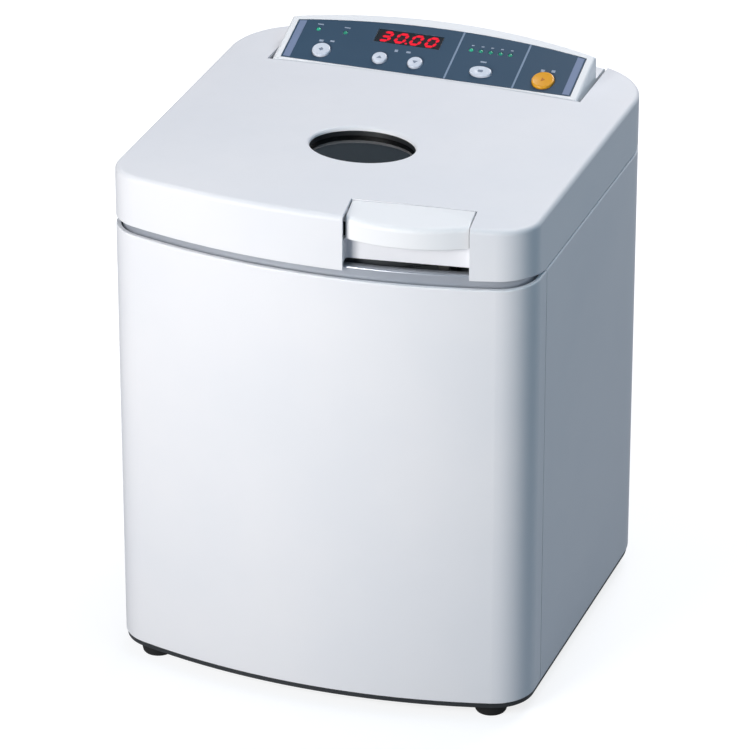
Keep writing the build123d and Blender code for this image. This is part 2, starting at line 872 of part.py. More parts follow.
# ---------------------------------------------------------------- handle and latch
paddle_half = handle_width / 2 - handle_side_gap
lip_centre = handle_lip_reach - handle_lip_radius
rib_low_z = lid_top - handle_rib_height
ceiling_z = lid_side_top - handle_plate + lid_crown_rise / 2


def paddle_plan(back, half, shrink):
    """Plan of the handle from its rear edge to its bowed lip, moved back by shrink, in the handle's frame."""
    radius = handle_lip_radius - shrink
    end_reach = lip_centre + math.sqrt(radius ** 2 - half ** 2)
    ThreePointArc((-half, -end_reach), (0, -(lip_centre + radius)), (half, -end_reach))
    Polyline((half, -end_reach), (half, -back), (-half, -back), (-half, -end_reach))


paddle_lean = math.radians(handle_slope)
paddle_top = Plane(
    origin=handle_plane.from_local_coords((0, 0, lid_top - lid_crown_rise * (handle_x / side_x) ** 2)),
    x_dir=handle_plane.x_dir,
    z_dir=Vector(0, 0, math.cos(paddle_lean)) - handle_plane.y_dir * math.sin(paddle_lean),
)

with BuildPart() as handle_paddle:
    with BuildSketch(handle_plane.offset(lip_low_z)) as paddle_outline:
        with BuildLine():
            paddle_plan(handle_gap, paddle_half, 0)
        make_face()
    extrude(paddle_outline.sketch, amount=2 * handle_lip_height)
    under_crown(0)
    split(bisect_by=paddle_top, keep=Keep.BOTTOM)
    top_front = handle_paddle.edges().filter_by_position(
        Axis.Z, lid_side_top - handle_lip_thickness, lid_top
    ).sort_by(Axis.Y)[0]
    fillet(top_front, handle_edge_radius)
    handle_block(
        -case_width, case_width, -case_width, handle_lip_reach / 2, 0, rib_low_z, mode=Mode.SUBTRACT
    )
    with BuildSketch(handle_plane.offset(0)) as below_plate:
        with BuildLine():
            paddle_plan(0, handle_width / 2, handle_lip_thickness)
        make_face()
    extrude(below_plate.sketch, amount=rib_low_z, mode=Mode.SUBTRACT)
    with BuildSketch(handle_plane.offset(rib_low_z)) as hollow:
        with BuildLine():
            paddle_plan(hook_reach, paddle_half - handle_cheek, handle_lip_thickness)
        make_face()
    extrude(hollow.sketch, amount=ceiling_z - rib_low_z, mode=Mode.SUBTRACT)
    with BuildSketch(handle_profile(handle_width)) as paddle_bore:
        with Locations((handle_pin_reach, handle_pin_z)):
            Circle(handle_pin_radius + running_clearance)
    extrude(paddle_bore.sketch, amount=2 * handle_width, mode=Mode.SUBTRACT)
save(handle_paddle, "handle_paddle")

with BuildPart() as handle_pin:
    with BuildSketch(handle_profile(pin_half_length)) as pin_section:
        with Locations((handle_pin_reach, handle_pin_z)):
            Circle(handle_pin_radius)
    extrude(pin_section.sketch, amount=2 * pin_half_length)
save(handle_pin, "handle_pin")

pocket_low_z = rim_top + pocket_gap
pocket_half = handle_width / 2 + pocket_wall

front_reach = handle_lip_reach + 2 * pocket_wall
with BuildSketch() as pocket_space:
    with BuildLine():
        Polyline(
            (-handle_width / 2, -2 * front_reach),
            (-handle_width / 2, -pocket_reach),
            (handle_width / 2, -pocket_reach),
            (handle_width / 2, -2 * front_reach),
            close=True,
        )
    make_face()
    fillet(pocket_space.vertices().sort_by(Axis.Y)[-2:], pocket_corner)

with BuildPart() as handle_pocket:
    with BuildSketch(handle_plane.offset(pocket_low_z)) as pocket_plan:
        with BuildLine():
            Polyline(
                (-pocket_half, -front_reach),
                (-pocket_half, -pocket_reach + pocket_wall),
                (pocket_half, -pocket_reach + pocket_wall),
                (pocket_half, -front_reach),
                close=True,
            )
        make_face()
        fillet(pocket_plan.vertices().sort_by(Axis.Y)[-2:], pocket_corner + pocket_wall)
        add(pocket_space.sketch, mode=Mode.SUBTRACT)
    extrude(pocket_plan.sketch, amount=lip_low_z - pocket_top_gap - pocket_low_z)
    case_prism(lid_wall + seat_clearance, 0, lid_top, mode=Mode.INTERSECT)
save(handle_pocket, "handle_pocket")

hook_low_z = deck_top + hook_ground
with BuildPart() as latch_hook:
    with BuildSketch(handle_profile(hook_u + hook_width / 2)) as hook_section:
        with BuildLine():
            Polyline(
                (hook_reach, ceiling_z),
                (hook_reach, hook_low_z + hook_nose_height),
                (hook_reach - hook_nose, hook_low_z + hook_nose_height / 2),
                (hook_reach - hook_nose, hook_low_z),
                (hook_reach + hook_thickness, hook_low_z),
                (hook_reach + hook_thickness, ceiling_z),
                close=True,
            )
        make_face()
    extrude(hook_section.sketch, amount=hook_width)
save(latch_hook, "latch_hook")

striker_reach = hook_reach - hook_nose - striker_gap
striker_low_z = hook_low_z + hook_nose_height + hook_nose_gap
with BuildPart() as latch_striker:
    with BuildSketch(handle_profile(hook_u + hook_width)) as striker_section:
        with BuildLine():
            Polyline(
                (striker_reach - striker_length, deck_top),
                (striker_reach - striker_length, striker_low_z + striker_thickness),
                (striker_reach, striker_low_z + striker_thickness),
                (striker_reach, striker_low_z),
                (striker_reach - striker_length + striker_thickness, striker_low_z),
                (striker_reach - striker_length + striker_thickness, deck_top),
                close=True,
            )
        make_face()
    extrude(striker_section.sketch, amount=2 * hook_width)
save(latch_striker, "latch_striker")

# ---------------------------------------------------------------- console
console_top_z = console_front_z + (rear_y - console_front_y) * math.tan(slope)
face_normal = console_plane.z_dir


def console_block(half_width, front, rear_inset, low, drop):
    """Add the console's wedge: a bow behind, two flat sides and the sloping face, lowered by drop."""
    case_prism(rear_inset, low, console_top_z)
    block((-case_width, -case_depth, low), (case_width, front, console_top_z), mode=Mode.SUBTRACT)
    for side in (-1, 1):
        outer = side * case_width
        block(
            (min(side * half_width, outer), -case_depth, low),
            (max(side * half_width, outer), case_depth, console_top_z),
            mode=Mode.SUBTRACT,
        )
    split(bisect_by=console_plane.offset(-drop), keep=Keep.BOTTOM)


def overlay_outline(grow):
    """Outline of the printed overlay on the sloping face, grown by grow, in the line being built."""
    half = overlay_half_width + grow
    low = overlay_low - grow
    end = overlay_end + grow
    ThreePointArc((-half, end), (0, overlay_mid + grow), (half, end))
    Polyline((half, end), (half, low), (-half, low), (-half, end))


lamp_places = [(x, lamp_up) for x in lamp_pair]
lamp_places += [
    (row_lamp_x + (i - (row_lamp_count - 1) / 2) * row_lamp_pitch, lamp_up) for i in range(row_lamp_count)
]


def face_openings(depth, start, clearance):
    """Cut the openings for buttons, lamps and display through a layer of the sloping face."""
    with BuildSketch(console_plane.offset(start)) as openings:
        for x, radius in round_buttons.values():
            with Locations((x, button_up)):
                Circle(radius + clearance)
        with Locations((oval_button_x, button_up)):
            Ellipse(oval_button_half_length + clearance, oval_button_half_height + clearance)
        with Locations(*lamp_places):
            Circle(lamp_radius + clearance)
        with Locations((display_x, display_up)):
            Rectangle(display_width + 2 * clearance, display_length + 2 * clearance)
    extrude(openings.sketch, amount=-depth, mode=Mode.SUBTRACT)


shelf_low = lid_low + lid_raise

with BuildPart() as rear_shelf:
    console_block(console_half_width, console_front_y + console_wall, 0, shelf_low, 0)
    block(
        (-case_width, -case_depth, lid_side_top),
        (case_width, case_depth, 2 * console_top_z),
        mode=Mode.SUBTRACT,
    )
    shelf_edges = rear_shelf.edges().group_by(Axis.Z)[-1]
    fillet(shelf_edges.filter_by(GeomType.CIRCLE), lid_edge_radius)

with BuildPart() as rear_foot:
    console_block(console_half_width, console_front_y + console_wall, front_panel_wall, deck_top, 0)
    block(
        (-case_width, -case_depth, shelf_low + console_wall),
        (case_width, case_depth, 2 * console_top_z),
        mode=Mode.SUBTRACT,
    )

with BuildPart() as console_inside:
    console_block(
        console_half_width - console_wall,
        console_front_y + console_wall,
        console_rear_inset + console_wall,
        deck_top,
        console_wall,
    )

with BuildPart() as shelf_inside:
    console_block(
        console_half_width - console_wall,
        console_front_y + 2 * console_wall,
        console_wall,
        shelf_low + console_wall,
        0,
    )
    block(
        (-case_width, -case_depth, lid_side_top - console_wall),
        (case_width, case_depth, 2 * console_top_z),
        mode=Mode.SUBTRACT,
    )

with BuildPart() as foot_inside:
    console_block(
        console_half_width - console_wall,
        console_front_y + 2 * console_wall,
        front_panel_wall + console_wall,
        deck_top,
        0,
    )
    block(
        (-case_width, -case_depth, shelf_low + console_wall),
        (case_width, case_depth, 2 * console_top_z),
        mode=Mode.SUBTRACT,
    )

with BuildPart() as console_housing:
    console_block(console_half_width, console_front_y, console_rear_inset, deck_top, 0)
    face_edges = console_housing.faces().sort_by(Axis.Z)[-1].edges()
    fillet(face_edges, console_edge_round)
    add(rear_shelf.part)
    add(rear_foot.part)
    add(console_inside.part, mode=Mode.SUBTRACT)
    add(shelf_inside.part, mode=Mode.SUBTRACT)
    add(foot_inside.part, mode=Mode.SUBTRACT)
    with BuildSketch(console_plane) as overlay_seat:
        with BuildLine():
            overlay_outline(slip)
        make_face()
    extrude(overlay_seat.sketch, amount=-overlay_thickness, mode=Mode.SUBTRACT)
    face_openings(2 * console_wall, 0, button_clearance)
save(console_housing, "console_housing")

with BuildPart() as console_overlay:
    with BuildSketch(console_plane.offset(-overlay_thickness)) as overlay_face:
        with BuildLine():
            overlay_outline(0)
        make_face()
    extrude(overlay_face.sketch, amount=overlay_thickness)
    face_openings(overlay_thickness, 0, button_clearance)
save(console_overlay, "console_overlay")


def button(name, x, half_height, outline):
    """Cap that stands proud of the overlay, with a dished top and a collar that keeps it behind the face."""
    with BuildPart() as cap:
        with BuildSketch(console_plane.offset(-board_depth + button_travel + slip)) as stem:
            outline(0)
        extrude(stem.sketch, amount=board_depth - button_travel - slip + button_rise)
        fillet(cap.edges().group_by(Axis(console_plane.origin, face_normal))[-1], button_rise / 2)
        collar_top = -console_wall - slip
        with BuildSketch(console_plane.offset(collar_top - button_lip_thickness)) as collar_ring:
            outline(button_lip)
        extrude(collar_ring.sketch, amount=button_lip_thickness)
        dish_reach = half_height - button_rise / 2
        dish_radius = (dish_reach ** 2 + button_dish ** 2) / (2 * button_dish)
        dish_plane = console_plane.offset(button_rise - button_dish + dish_radius)
        with Locations(dish_plane.location * Location((x, button_up, 0))):
            Sphere(dish_radius, mode=Mode.SUBTRACT)
    save(cap, name)


for button_name, (button_x, button_radius) in round_buttons.items():
    def round_outline(grow, x=button_x, radius=button_radius):
        with Locations((x, button_up)):
            Circle(radius + grow)
    button(button_name, button_x, button_radius, round_outline)


def oval_outline(grow):
    with Locations((oval_button_x, button_up)):
        Ellipse(oval_button_half_length + grow, oval_button_half_height + grow)


button("select_button", oval_button_x, oval_button_half_height, oval_outline)

with BuildPart() as status_lamps:
    with BuildSketch(console_plane.offset(-board_depth)) as lamp_faces:
        with Locations(*lamp_places):
            Circle(lamp_radius)
    extrude(lamp_faces.sketch, amount=board_depth)
save(status_lamps, "status_lamps")

with BuildPart() as display_module:
    with BuildSketch(console_plane.offset(-board_depth)) as display_face:
        with Locations((display_x, display_up)):
            Rectangle(display_width, display_length)
    extrude(display_face.sketch, amount=board_depth - overlay_thickness / 2)
save(display_module, "display_module")

with BuildPart() as control_board:
    with BuildSketch(console_plane.offset(-board_depth - board_thickness)) as board_face:
        with Locations((0, (overlay_low + overlay_end) / 2)):
            Rectangle(2 * (overlay_half_width - board_margin), overlay_end - overlay_low)
    extrude(board_face.sketch, amount=board_thickness)
save(control_board, "control_board")

# ---------------------------------------------------------------- drive under the chamber
pulley_low_z = pulley_top_z - pulley_width
belt_mid_z = (pulley_low_z + pulley_top_z) / 2
lower_bearing_z = mount_plate_top
upper_bearing_z = housing_top_z - housing_lip - bearing_width
plate_hole_radius = bearing_radius - bearing_ledge
motor_hole_radius = motor_shaft_radius + bearing_ledge
post_top_z = mount_plate_z - isolator_height
post_x = mount_plate_width / 2 - post_from_plate_side
post_places = [
    (side * post_x, y)
    for side in (-1, 1)
    for y in (mount_plate_front_y + post_from_plate_end, mount_plate_rear_y - post_from_plate_end)
]
post_planes = [Plane(origin=(x, y, 0)) for x, y in post_places]

with BuildPart() as mount_plate:
    with BuildSketch(Plane.XY.offset(mount_plate_z)) as plate_outline:
        with Locations((0, (mount_plate_front_y + mount_plate_rear_y) / 2)):
            RectangleRounded(mount_plate_width, mount_plate_rear_y - mount_plate_front_y, mount_plate_corner)
        with Locations(chamber_centre):
            Circle(plate_hole_radius, mode=Mode.SUBTRACT)
        with Locations(motor_centre):
            Circle(motor_hole_radius, mode=Mode.SUBTRACT)
        with Locations(*post_places):
            Circle(plate_screw_radius + screw_clearance, mode=Mode.SUBTRACT)
    extrude(plate_outline.sketch, amount=mount_plate_thickness)
save(mount_plate, "mount_plate")

with BuildPart() as support_posts:
    for plane in post_planes:
        tube(plane, post_radius, 0, base_top, post_top_z)
        bore(plane, plate_screw_radius + tight_clearance, post_top_z - plate_screw_grip, post_top_z)
save(support_posts, "support_posts")

with BuildPart() as rubber_isolators:
    for plane in post_planes:
        tube(plane, isolator_radius, plate_screw_radius + screw_clearance, post_top_z, mount_plate_z)
save(rubber_isolators, "rubber_isolators")

with BuildPart() as bearing_housing:
    flange_top_z = mount_plate_top + housing_flange_thickness
    tube(shaft_plane, housing_flange_radius, bearing_radius, mount_plate_top, flange_top_z)
    tube(shaft_plane, housing_radius, bearing_radius, mount_plate_top, housing_top_z - housing_lip)
    tube(shaft_plane, housing_radius, shaft_radius + shaft_collar, housing_top_z - housing_lip, housing_top_z)
save(bearing_housing, "bearing_housing")

with BuildPart() as shaft_bearings:
    for low in (lower_bearing_z, upper_bearing_z):
        outer = bearing_radius - tight_clearance
        tube(shaft_plane, outer, shaft_radius + running_clearance, low, low + bearing_width)
save(shaft_bearings, "shaft_bearings")

with BuildPart() as main_shaft:
    tube(shaft_plane, shaft_radius, 0, pulley_low_z - shaft_end, rotor_plate_z)
    tube(shaft_plane, hub_seat_radius, 0, rotor_plate_z, rotor_hub_top)
    tube(shaft_plane, shaft_thread_radius, 0, rotor_hub_top, rotor_hub_top + shaft_thread_length)
    tube(
        shaft_plane,
        shaft_radius + shaft_collar,
        0,
        lower_bearing_z + bearing_width + slip,
        upper_bearing_z - slip,
    )
save(main_shaft, "main_shaft")


def belt_pulley(name, plane, radius, bore_radius):
    """Flat-belt pulley with a raised side above and below the belt."""
    with BuildPart() as pulley:
        tube(plane, radius, bore_radius, pulley_low_z, pulley_top_z)
        side_radius = radius + drive_belt_thickness + slip
        tube(plane, side_radius, bore_radius, pulley_low_z, pulley_low_z + pulley_side)
        tube(plane, side_radius, bore_radius, pulley_top_z - pulley_side, pulley_top_z)
    save(pulley, name)


belt_pulley("shaft_pulley", shaft_plane, shaft_pulley_radius, shaft_radius + tight_clearance)
belt_pulley("motor_pulley", motor_plane, motor_pulley_radius, motor_shaft_radius + tight_clearance)

with BuildPart() as motor:
    motor_top = mount_plate_top + motor_height
    tube(motor_plane, motor_radius, motor_shaft_radius + running_clearance, mount_plate_top, motor_top)
    fillet(motor.edges().group_by(Axis.Z)[-1].sort_by(SortBy.LENGTH)[-1], motor_edge)
    for low in (mount_plate_top + motor_cap_height, motor_top - motor_cap_height - motor_cap_step):
        with BuildSketch(motor_plane.offset(low)) as joint_line:
            Circle(2 * motor_radius)
            Circle(motor_radius - motor_cap_step, mode=Mode.SUBTRACT)
        extrude(joint_line.sketch, amount=motor_cap_step, mode=Mode.SUBTRACT)
save(motor, "motor")

with BuildPart() as motor_shaft:
    tube(motor_plane, motor_shaft_radius, 0, pulley_low_z, mount_plate_top + motor_shaft_grip)
save(motor_shaft, "motor_shaft")

with BuildPart() as drive_belt:
    for grow, mode in ((slip + drive_belt_thickness, Mode.ADD), (slip, Mode.SUBTRACT)):
        with BuildSketch(Plane.XY.offset(belt_mid_z - drive_belt_width / 2)) as belt_outline:
            with Locations(chamber_centre):
                Circle(shaft_pulley_radius + grow)
            with Locations(motor_centre):
                Circle(motor_pulley_radius + grow)
            make_hull()
        extrude(belt_outline.sketch, amount=drive_belt_width, mode=mode)
save(drive_belt, "drive_belt")

# ---------------------------------------------------------------- cup holder on its tilted axis
holder_pulley_start = holder_half_length + holder_pulley_gap
pulley_down = holder_pulley_start + holder_pulley_width / 2
boss_start = holder_pulley_start + holder_pulley_width + boss_gap
boss_end = boss_start + boss_length
holder_bore_radius = holder_radius - holder_wall
adapter_radius = holder_bore_radius - slip
adapter_low = holder_floor - holder_half_length

with BuildPart() as cup_holder:
    tube(holder_plane, holder_radius, 0, -holder_half_length, holder_half_length)
    tube(
        holder_plane,
        holder_radius + holder_rim_width,
        0,
        holder_half_length - holder_rim_height,
        holder_half_length,
    )
    bore(holder_plane, holder_bore_radius, adapter_low, holder_half_length)
save(cup_holder, "cup_holder")

with BuildPart() as cup_adapter:
    tube(holder_plane, adapter_radius, 0, adapter_low, holder_half_length)
    bore(holder_plane, adapter_radius - adapter_wall, adapter_low + adapter_floor, holder_half_length)
save(cup_adapter, "cup_adapter")

with BuildPart() as holder_spindle:
    tube(holder_plane, spindle_flange_radius, 0, -holder_pulley_start, -holder_half_length)
    tube(holder_plane, spindle_radius, 0, -holder_half_length - spindle_length, -holder_pulley_start)
save(holder_spindle, "holder_spindle")

holder_belt_plane = holder_plane.offset(-pulley_down)
sun_plane = Plane(origin=(0, chamber_y, sun_belt_z))

with BuildPart() as holder_pulley:
    spindle_bore = spindle_radius + tight_clearance
    grooved_pulley(holder_belt_plane, holder_pulley_width, holder_pitch_radius, spindle_bore)
save(holder_pulley, "holder_pulley")

with BuildPart() as sun_pulley:
    grooved_pulley(sun_plane, sun_pulley_width, sun_pitch_radius, shaft_radius + slip)
save(sun_pulley, "sun_pulley")

with BuildPart() as holder_bearings:
    for low in (-boss_end, -boss_start - holder_bearing_width):
        tube(
            holder_plane,
            holder_bearing_radius - tight_clearance,
            spindle_radius + running_clearance,
            low,
            low + holder_bearing_width,
        )
save(holder_bearings, "holder_bearings")

# ---------------------------------------------------------------- folded belt and its guide rollers
guide_belt_radius = guide_roller_radius + round_belt_radius
fold_x = holder_belt_plane.origin.X + (sun_belt_z - holder_belt_plane.origin.Z) / math.tan(tilt)


def tangent_point(plane, pitch, outside, side):
    """Where a straight run from a point outside meets a circle about the plane's origin, on the given side."""
    local = plane.to_local_coords(outside)
    distance = math.hypot(local.X, local.Y)
    lean = math.atan2(local.Y, local.X) + side * math.acos(pitch / distance)
    return plane.from_local_coords(Vector(pitch * math.cos(lean), pitch * math.sin(lean), 0))


class BeltCorner:
    """One fold of the belt: its straight runs lie in the two pulleys' planes, and the roller sits inside it."""

    def __init__(self, side):
        corner = Vector(fold_x, chamber_y + side * guide_offset_y, sun_belt_z)
        self.sun_touch = tangent_point(sun_plane, sun_pitch_radius, corner, side)
        self.cup_touch = tangent_point(holder_belt_plane, holder_pitch_radius, corner, -side)
        to_sun = (self.sun_touch - corner).normalized()
        to_cup = (self.cup_touch - corner).normalized()
        opening = math.radians(to_sun.get_angle(to_cup))
        self.turn = 180 - math.degrees(opening)
        reach = guide_belt_radius / math.tan(opening / 2)
        self.sun_end = corner + to_sun * reach
        self.cup_end = corner + to_cup * reach
        self.centre = corner + (to_sun + to_cup).normalized() * (guide_belt_radius / math.sin(opening / 2))
        self.axis = (self.sun_end - self.centre).cross(self.cup_end - self.centre).normalized()
        self.outward = self.axis if self.axis.Y * side > 0 else -self.axis
        self.plane = Plane(origin=self.centre, z_dir=self.outward)


corners = {side: BeltCorner(side) for side in (-1, 1)}


def belt_run(start, end):
    """Straight run of round belt."""
    with BuildSketch(Plane(origin=start, z_dir=end - start)) as section:
        Circle(round_belt_radius)
    extrude(section.sketch, amount=(end - start).length)


def belt_turn(centre, axis, start, angle):
    """Arc of round belt that starts at a point and turns about an axis through the centre."""
    with BuildSketch(Plane(origin=start, z_dir=axis.cross(start - centre))) as section:
        Circle(round_belt_radius)
    revolve(section.sketch, axis=Axis(centre, axis), revolution_arc=angle)


with BuildPart() as rotor_belt:
    for corner in corners.values():
        belt_run(corner.sun_touch, corner.sun_end)
        belt_turn(corner.centre, corner.axis, corner.sun_end, corner.turn)
        belt_run(corner.cup_end, corner.cup_touch)
    sun_local = sun_plane.to_local_coords(corners[1].sun_touch)
    sun_wrap = 360 - 2 * math.degrees(math.atan2(sun_local.Y, sun_local.X))
    belt_turn(sun_plane.origin, sun_plane.z_dir, corners[1].sun_touch, sun_wrap)
    cup_local = holder_belt_plane.to_local_coords(corners[1].cup_touch)
    cup_wrap = 180 + 2 * math.degrees(math.atan2(cup_local.Y, cup_local.X))
    belt_turn(holder_belt_plane.origin, -holder_belt_plane.z_dir, corners[1].cup_touch, cup_wrap)
save(rotor_belt, "rotor_belt")

for roller_name, side in (("guide_roller_front", -1), ("guide_roller_rear", 1)):
    with BuildPart() as guide_roller:
        grooved_pulley(
            corners[side].plane, guide_roller_width, guide_belt_radius, guide_pin_radius + running_clearance
        )
    save(guide_roller, roller_name)

guide_pin_end = guide_roller_width / 2 + slip
guide_pin_start = -(guide_offset_y - rotor_half_width) - guide_pin_grip

with BuildPart() as guide_pins:
    for corner in corners.values():
        tube(corner.plane, guide_pin_radius, 0, guide_pin_start, guide_pin_end)
        tube(corner.plane, guide_pin_head_radius, 0, guide_pin_end, guide_pin_end + guide_pin_head)
save(guide_pins, "guide_pins")

# ---------------------------------------------------------------- rotor arm and counterweight
rotor_plate_top = rotor_plate_z + rotor_plate_thickness
boss_high = holder_plane.offset(-boss_start).origin
boss_low = holder_plane.offset(-boss_end).origin
wedge_foot_x = boss_high.X - (boss_high.Z - rotor_plate_top) / math.tan(tilt)
weight_top_z = rotor_plate_top + counterweight_height
weight_screw_radius = (counterweight_inner + counterweight_outer) / 2
weight_screw_planes = [
    Plane(
        origin=(
            -weight_screw_radius * math.cos(math.radians(side * counterweight_screw_angle)),
            chamber_y + weight_screw_radius * math.sin(math.radians(side * counterweight_screw_angle)),
            weight_top_z,
        )
    )
    for side in (-1, 1)
]


def weight_sector(inner, outer):
    """Ring sector about the chamber's axis, on the side away from the cup, in the sketch being built."""
    with Locations(chamber_centre):
        Circle(outer)
        Circle(inner, mode=Mode.SUBTRACT)
    half = math.radians(counterweight_span / 2)
    across = 2 * outer * math.sin(half)
    along = 2 * outer * math.cos(half)
    Polygon(
        (0, chamber_y),
        (-along, chamber_y + across),
        (-along, chamber_y - across),
        align=None,
        mode=Mode.INTERSECT,
    )


with BuildPart() as rotor_arm:
    with BuildSketch(chamber_plane) as arm_side:
        with BuildLine():
            Polyline(
                (-counterweight_inner - counterweight_edge, rotor_plate_z),
                (boss_low.X - boss_radius / 2, rotor_plate_z),
                (boss_low.X, boss_low.Z),
                (boss_high.X, boss_high.Z),
                (wedge_foot_x, rotor_plate_top),
                (-counterweight_inner - counterweight_edge, rotor_plate_top),
                close=True,
            )
        make_face()
    extrude(arm_side.sketch, amount=rotor_half_width, both=True)
    tube(holder_plane, boss_radius, 0, -boss_end, -boss_start)
    tube(shaft_plane, rotor_hub_radius, 0, rotor_plate_z, rotor_hub_top)
    with BuildSketch(Plane.XY.offset(rotor_plate_z)) as tray:
        weight_sector(counterweight_inner, counterweight_outer)
    extrude(tray.sketch, amount=rotor_plate_thickness)
    bore(shaft_plane, hub_seat_radius + tight_clearance, rotor_plate_z, rotor_hub_top)
    bore(holder_plane, holder_bearing_radius - boss_ledge, -boss_end - boss_radius, -boss_start)
    for low in (-boss_end, -boss_start - holder_bearing_width):
        bore(holder_plane, holder_bearing_radius, low, low + holder_bearing_width)
    for corner in corners.values():
        bore(corner.plane, guide_pin_radius + tight_clearance, guide_pin_start, 0)
    for plane in weight_screw_planes:
        bore(
            plane,
            counterweight_screw_radius + tight_clearance,
            -counterweight_height - counterweight_screw_grip,
            -counterweight_height,
        )
save(rotor_arm, "rotor_arm")

with BuildPart() as counterweight:
    with BuildSketch(Plane.XY.offset(rotor_plate_top)) as weight_plan:
        weight_sector(counterweight_inner, counterweight_outer)
    extrude(weight_plan.sketch, amount=counterweight_height)
    chamfer(counterweight.edges().group_by(Axis.Z)[-1], counterweight_edge)
    for plane in weight_screw_planes:
        bore(plane, counterweight_screw_radius + screw_clearance, -counterweight_height, 0)
save(counterweight, "counterweight")

with BuildPart() as rotor_fasteners:
    with BuildSketch(shaft_plane.offset(rotor_hub_top)) as nut_section:
        RegularPolygon(nut_flat_radius, 6, major_radius=False)
        Circle(shaft_thread_radius + tight_clearance, mode=Mode.SUBTRACT)
    extrude(nut_section.sketch, amount=nut_height)
    for plane in weight_screw_planes:
        tube(plane, counterweight_screw_head_radius, 0, 0, counterweight_screw_head)
        tube(plane, counterweight_screw_radius, 0, -counterweight_height - counterweight_screw_grip, 0)
save(rotor_fasteners, "rotor_fasteners")

# ---------------------------------------------------------------- rear services
panel_face = Plane(origin=(0, service_recess_y, 0), x_dir=(-1, 0, 0), z_dir=(0, 1, 0))
panel_screw_x = service_half_width - panel_screw_inset
panel_screw_z = (service_low_z + panel_screw_inset, service_high_z - panel_screw_inset)
panel_screw_places = [(side * panel_screw_x, z) for side in (-1, 1) for z in panel_screw_z]


def panel_rectangle(x, z, half_width, half_height):
    """Rectangle on the rear panel's outer face, in the sketch being built."""
    with Locations((-x, z)):
        Rectangle(2 * half_width, 2 * half_height)


def panel_box(x, z, half_width, half_height, low, high, mode=Mode.ADD):
    """Add or take away a box that stands on the rear panel's outer face; outwards is positive."""
    with BuildSketch(panel_face.offset(low)) as section:
        panel_rectangle(x, z, half_width, half_height)
    extrude(section.sketch, amount=high - low, mode=mode)


with BuildPart() as rear_panel:
    with BuildSketch(panel_face.offset(-service_plate)) as panel_outline:
        panel_rectangle(
            0,
            (service_low_z + service_high_z) / 2,
            service_half_width + service_lap,
            (service_high_z - service_low_z) / 2 + service_lap,
        )
        with Locations((-vent_x, vent_z)):
            with GridLocations(0, vent_pitch, 1, vent_count):
                SlotOverall(vent_length, vent_width, mode=Mode.SUBTRACT)
        with Locations((-inlet_x, inlet_z)):
            Rectangle(
                2 * (inlet_half_width + screw_clearance),
                2 * (inlet_half_height + screw_clearance),
                mode=Mode.SUBTRACT,
            )
        with Locations((-inlet_x, switch_z)):
            Rectangle(
                2 * (switch_half_width + screw_clearance),
                2 * (switch_half_height + screw_clearance),
                mode=Mode.SUBTRACT,
            )
        with Locations(*panel_screw_places):
            Circle(screw_shank_radius + screw_clearance, mode=Mode.SUBTRACT)
    extrude(panel_outline.sketch, amount=service_plate)
save(rear_panel, "rear_panel")

pin_places = [(inlet_x + i * inlet_pin_pitch, inlet_z) for i in (-1, 1)]
pin_places.append((inlet_x, inlet_z + inlet_earth_rise))
inlet_floor = inlet_back - inlet_depth

with BuildPart() as power_inlet:
    panel_box(inlet_x, inlet_z, inlet_half_width, inlet_half_height, -inlet_depth, 0)
    panel_box(
        inlet_x, inlet_z, inlet_half_width + inlet_ear, inlet_half_height + inlet_lip, 0, inlet_flange_thickness
    )
    depth_edges = power_inlet.edges().filter_by(Axis.Y)
    corner_edges = depth_edges.filter_by(lambda edge: edge.center().Y > service_recess_y)
    fillet(corner_edges, inlet_lip)
    with BuildSketch(panel_face.offset(inlet_floor)) as socket:
        with Locations((-inlet_x, inlet_z)):
            Rectangle(2 * (inlet_half_width - inlet_wall), 2 * (inlet_half_height - inlet_wall))
        chamfer(socket.vertices().group_by(Axis.Y)[-1], inlet_corner)
    extrude(socket.sketch, amount=inlet_depth, mode=Mode.SUBTRACT)
    for x, z in pin_places:
        panel_box(
            x, z, inlet_pin_thickness / 2, inlet_pin_height / 2, -inlet_depth, inlet_floor, mode=Mode.SUBTRACT
        )
save(power_inlet, "power_inlet")

with BuildPart() as inlet_pins:
    for x, z in pin_places:
        panel_box(
            x,
            z,
            inlet_pin_thickness / 2,
            inlet_pin_height / 2,
            -inlet_depth - inlet_tail_length,
            inlet_floor + inlet_pin_length,
        )
save(inlet_pins, "inlet_pins")

pivot = Vector(inlet_x, service_recess_y - rocker_pivot_depth, switch_z)
pivot_plane = Plane(origin=pivot, x_dir=(0, 1, 0), z_dir=(1, 0, 0))
rocker_half_width = switch_half_width - switch_wall - rocker_side_gap
rocker_pin_reach = switch_half_width - switch_wall + rocker_pin_length
rocker_well = rocker_pivot_depth + 2 * rocker_height

with BuildPart() as switch_frame:
    panel_box(inlet_x, switch_z, switch_half_width, switch_half_height, -switch_depth, 0)
    panel_box(
        inlet_x, switch_z, switch_half_width + switch_bezel, switch_half_height + switch_bezel, 0, switch_bezel
    )
    panel_box(
        inlet_x,
        switch_z,
        switch_half_width - switch_wall,
        switch_half_height - switch_wall,
        -rocker_well,
        switch_bezel,
        mode=Mode.SUBTRACT,
    )
    bore(
        pivot_plane,
        rocker_pin_radius + running_clearance,
        -rocker_pin_reach - running_clearance,
        rocker_pin_reach + running_clearance,
    )
save(switch_frame, "switch_frame")

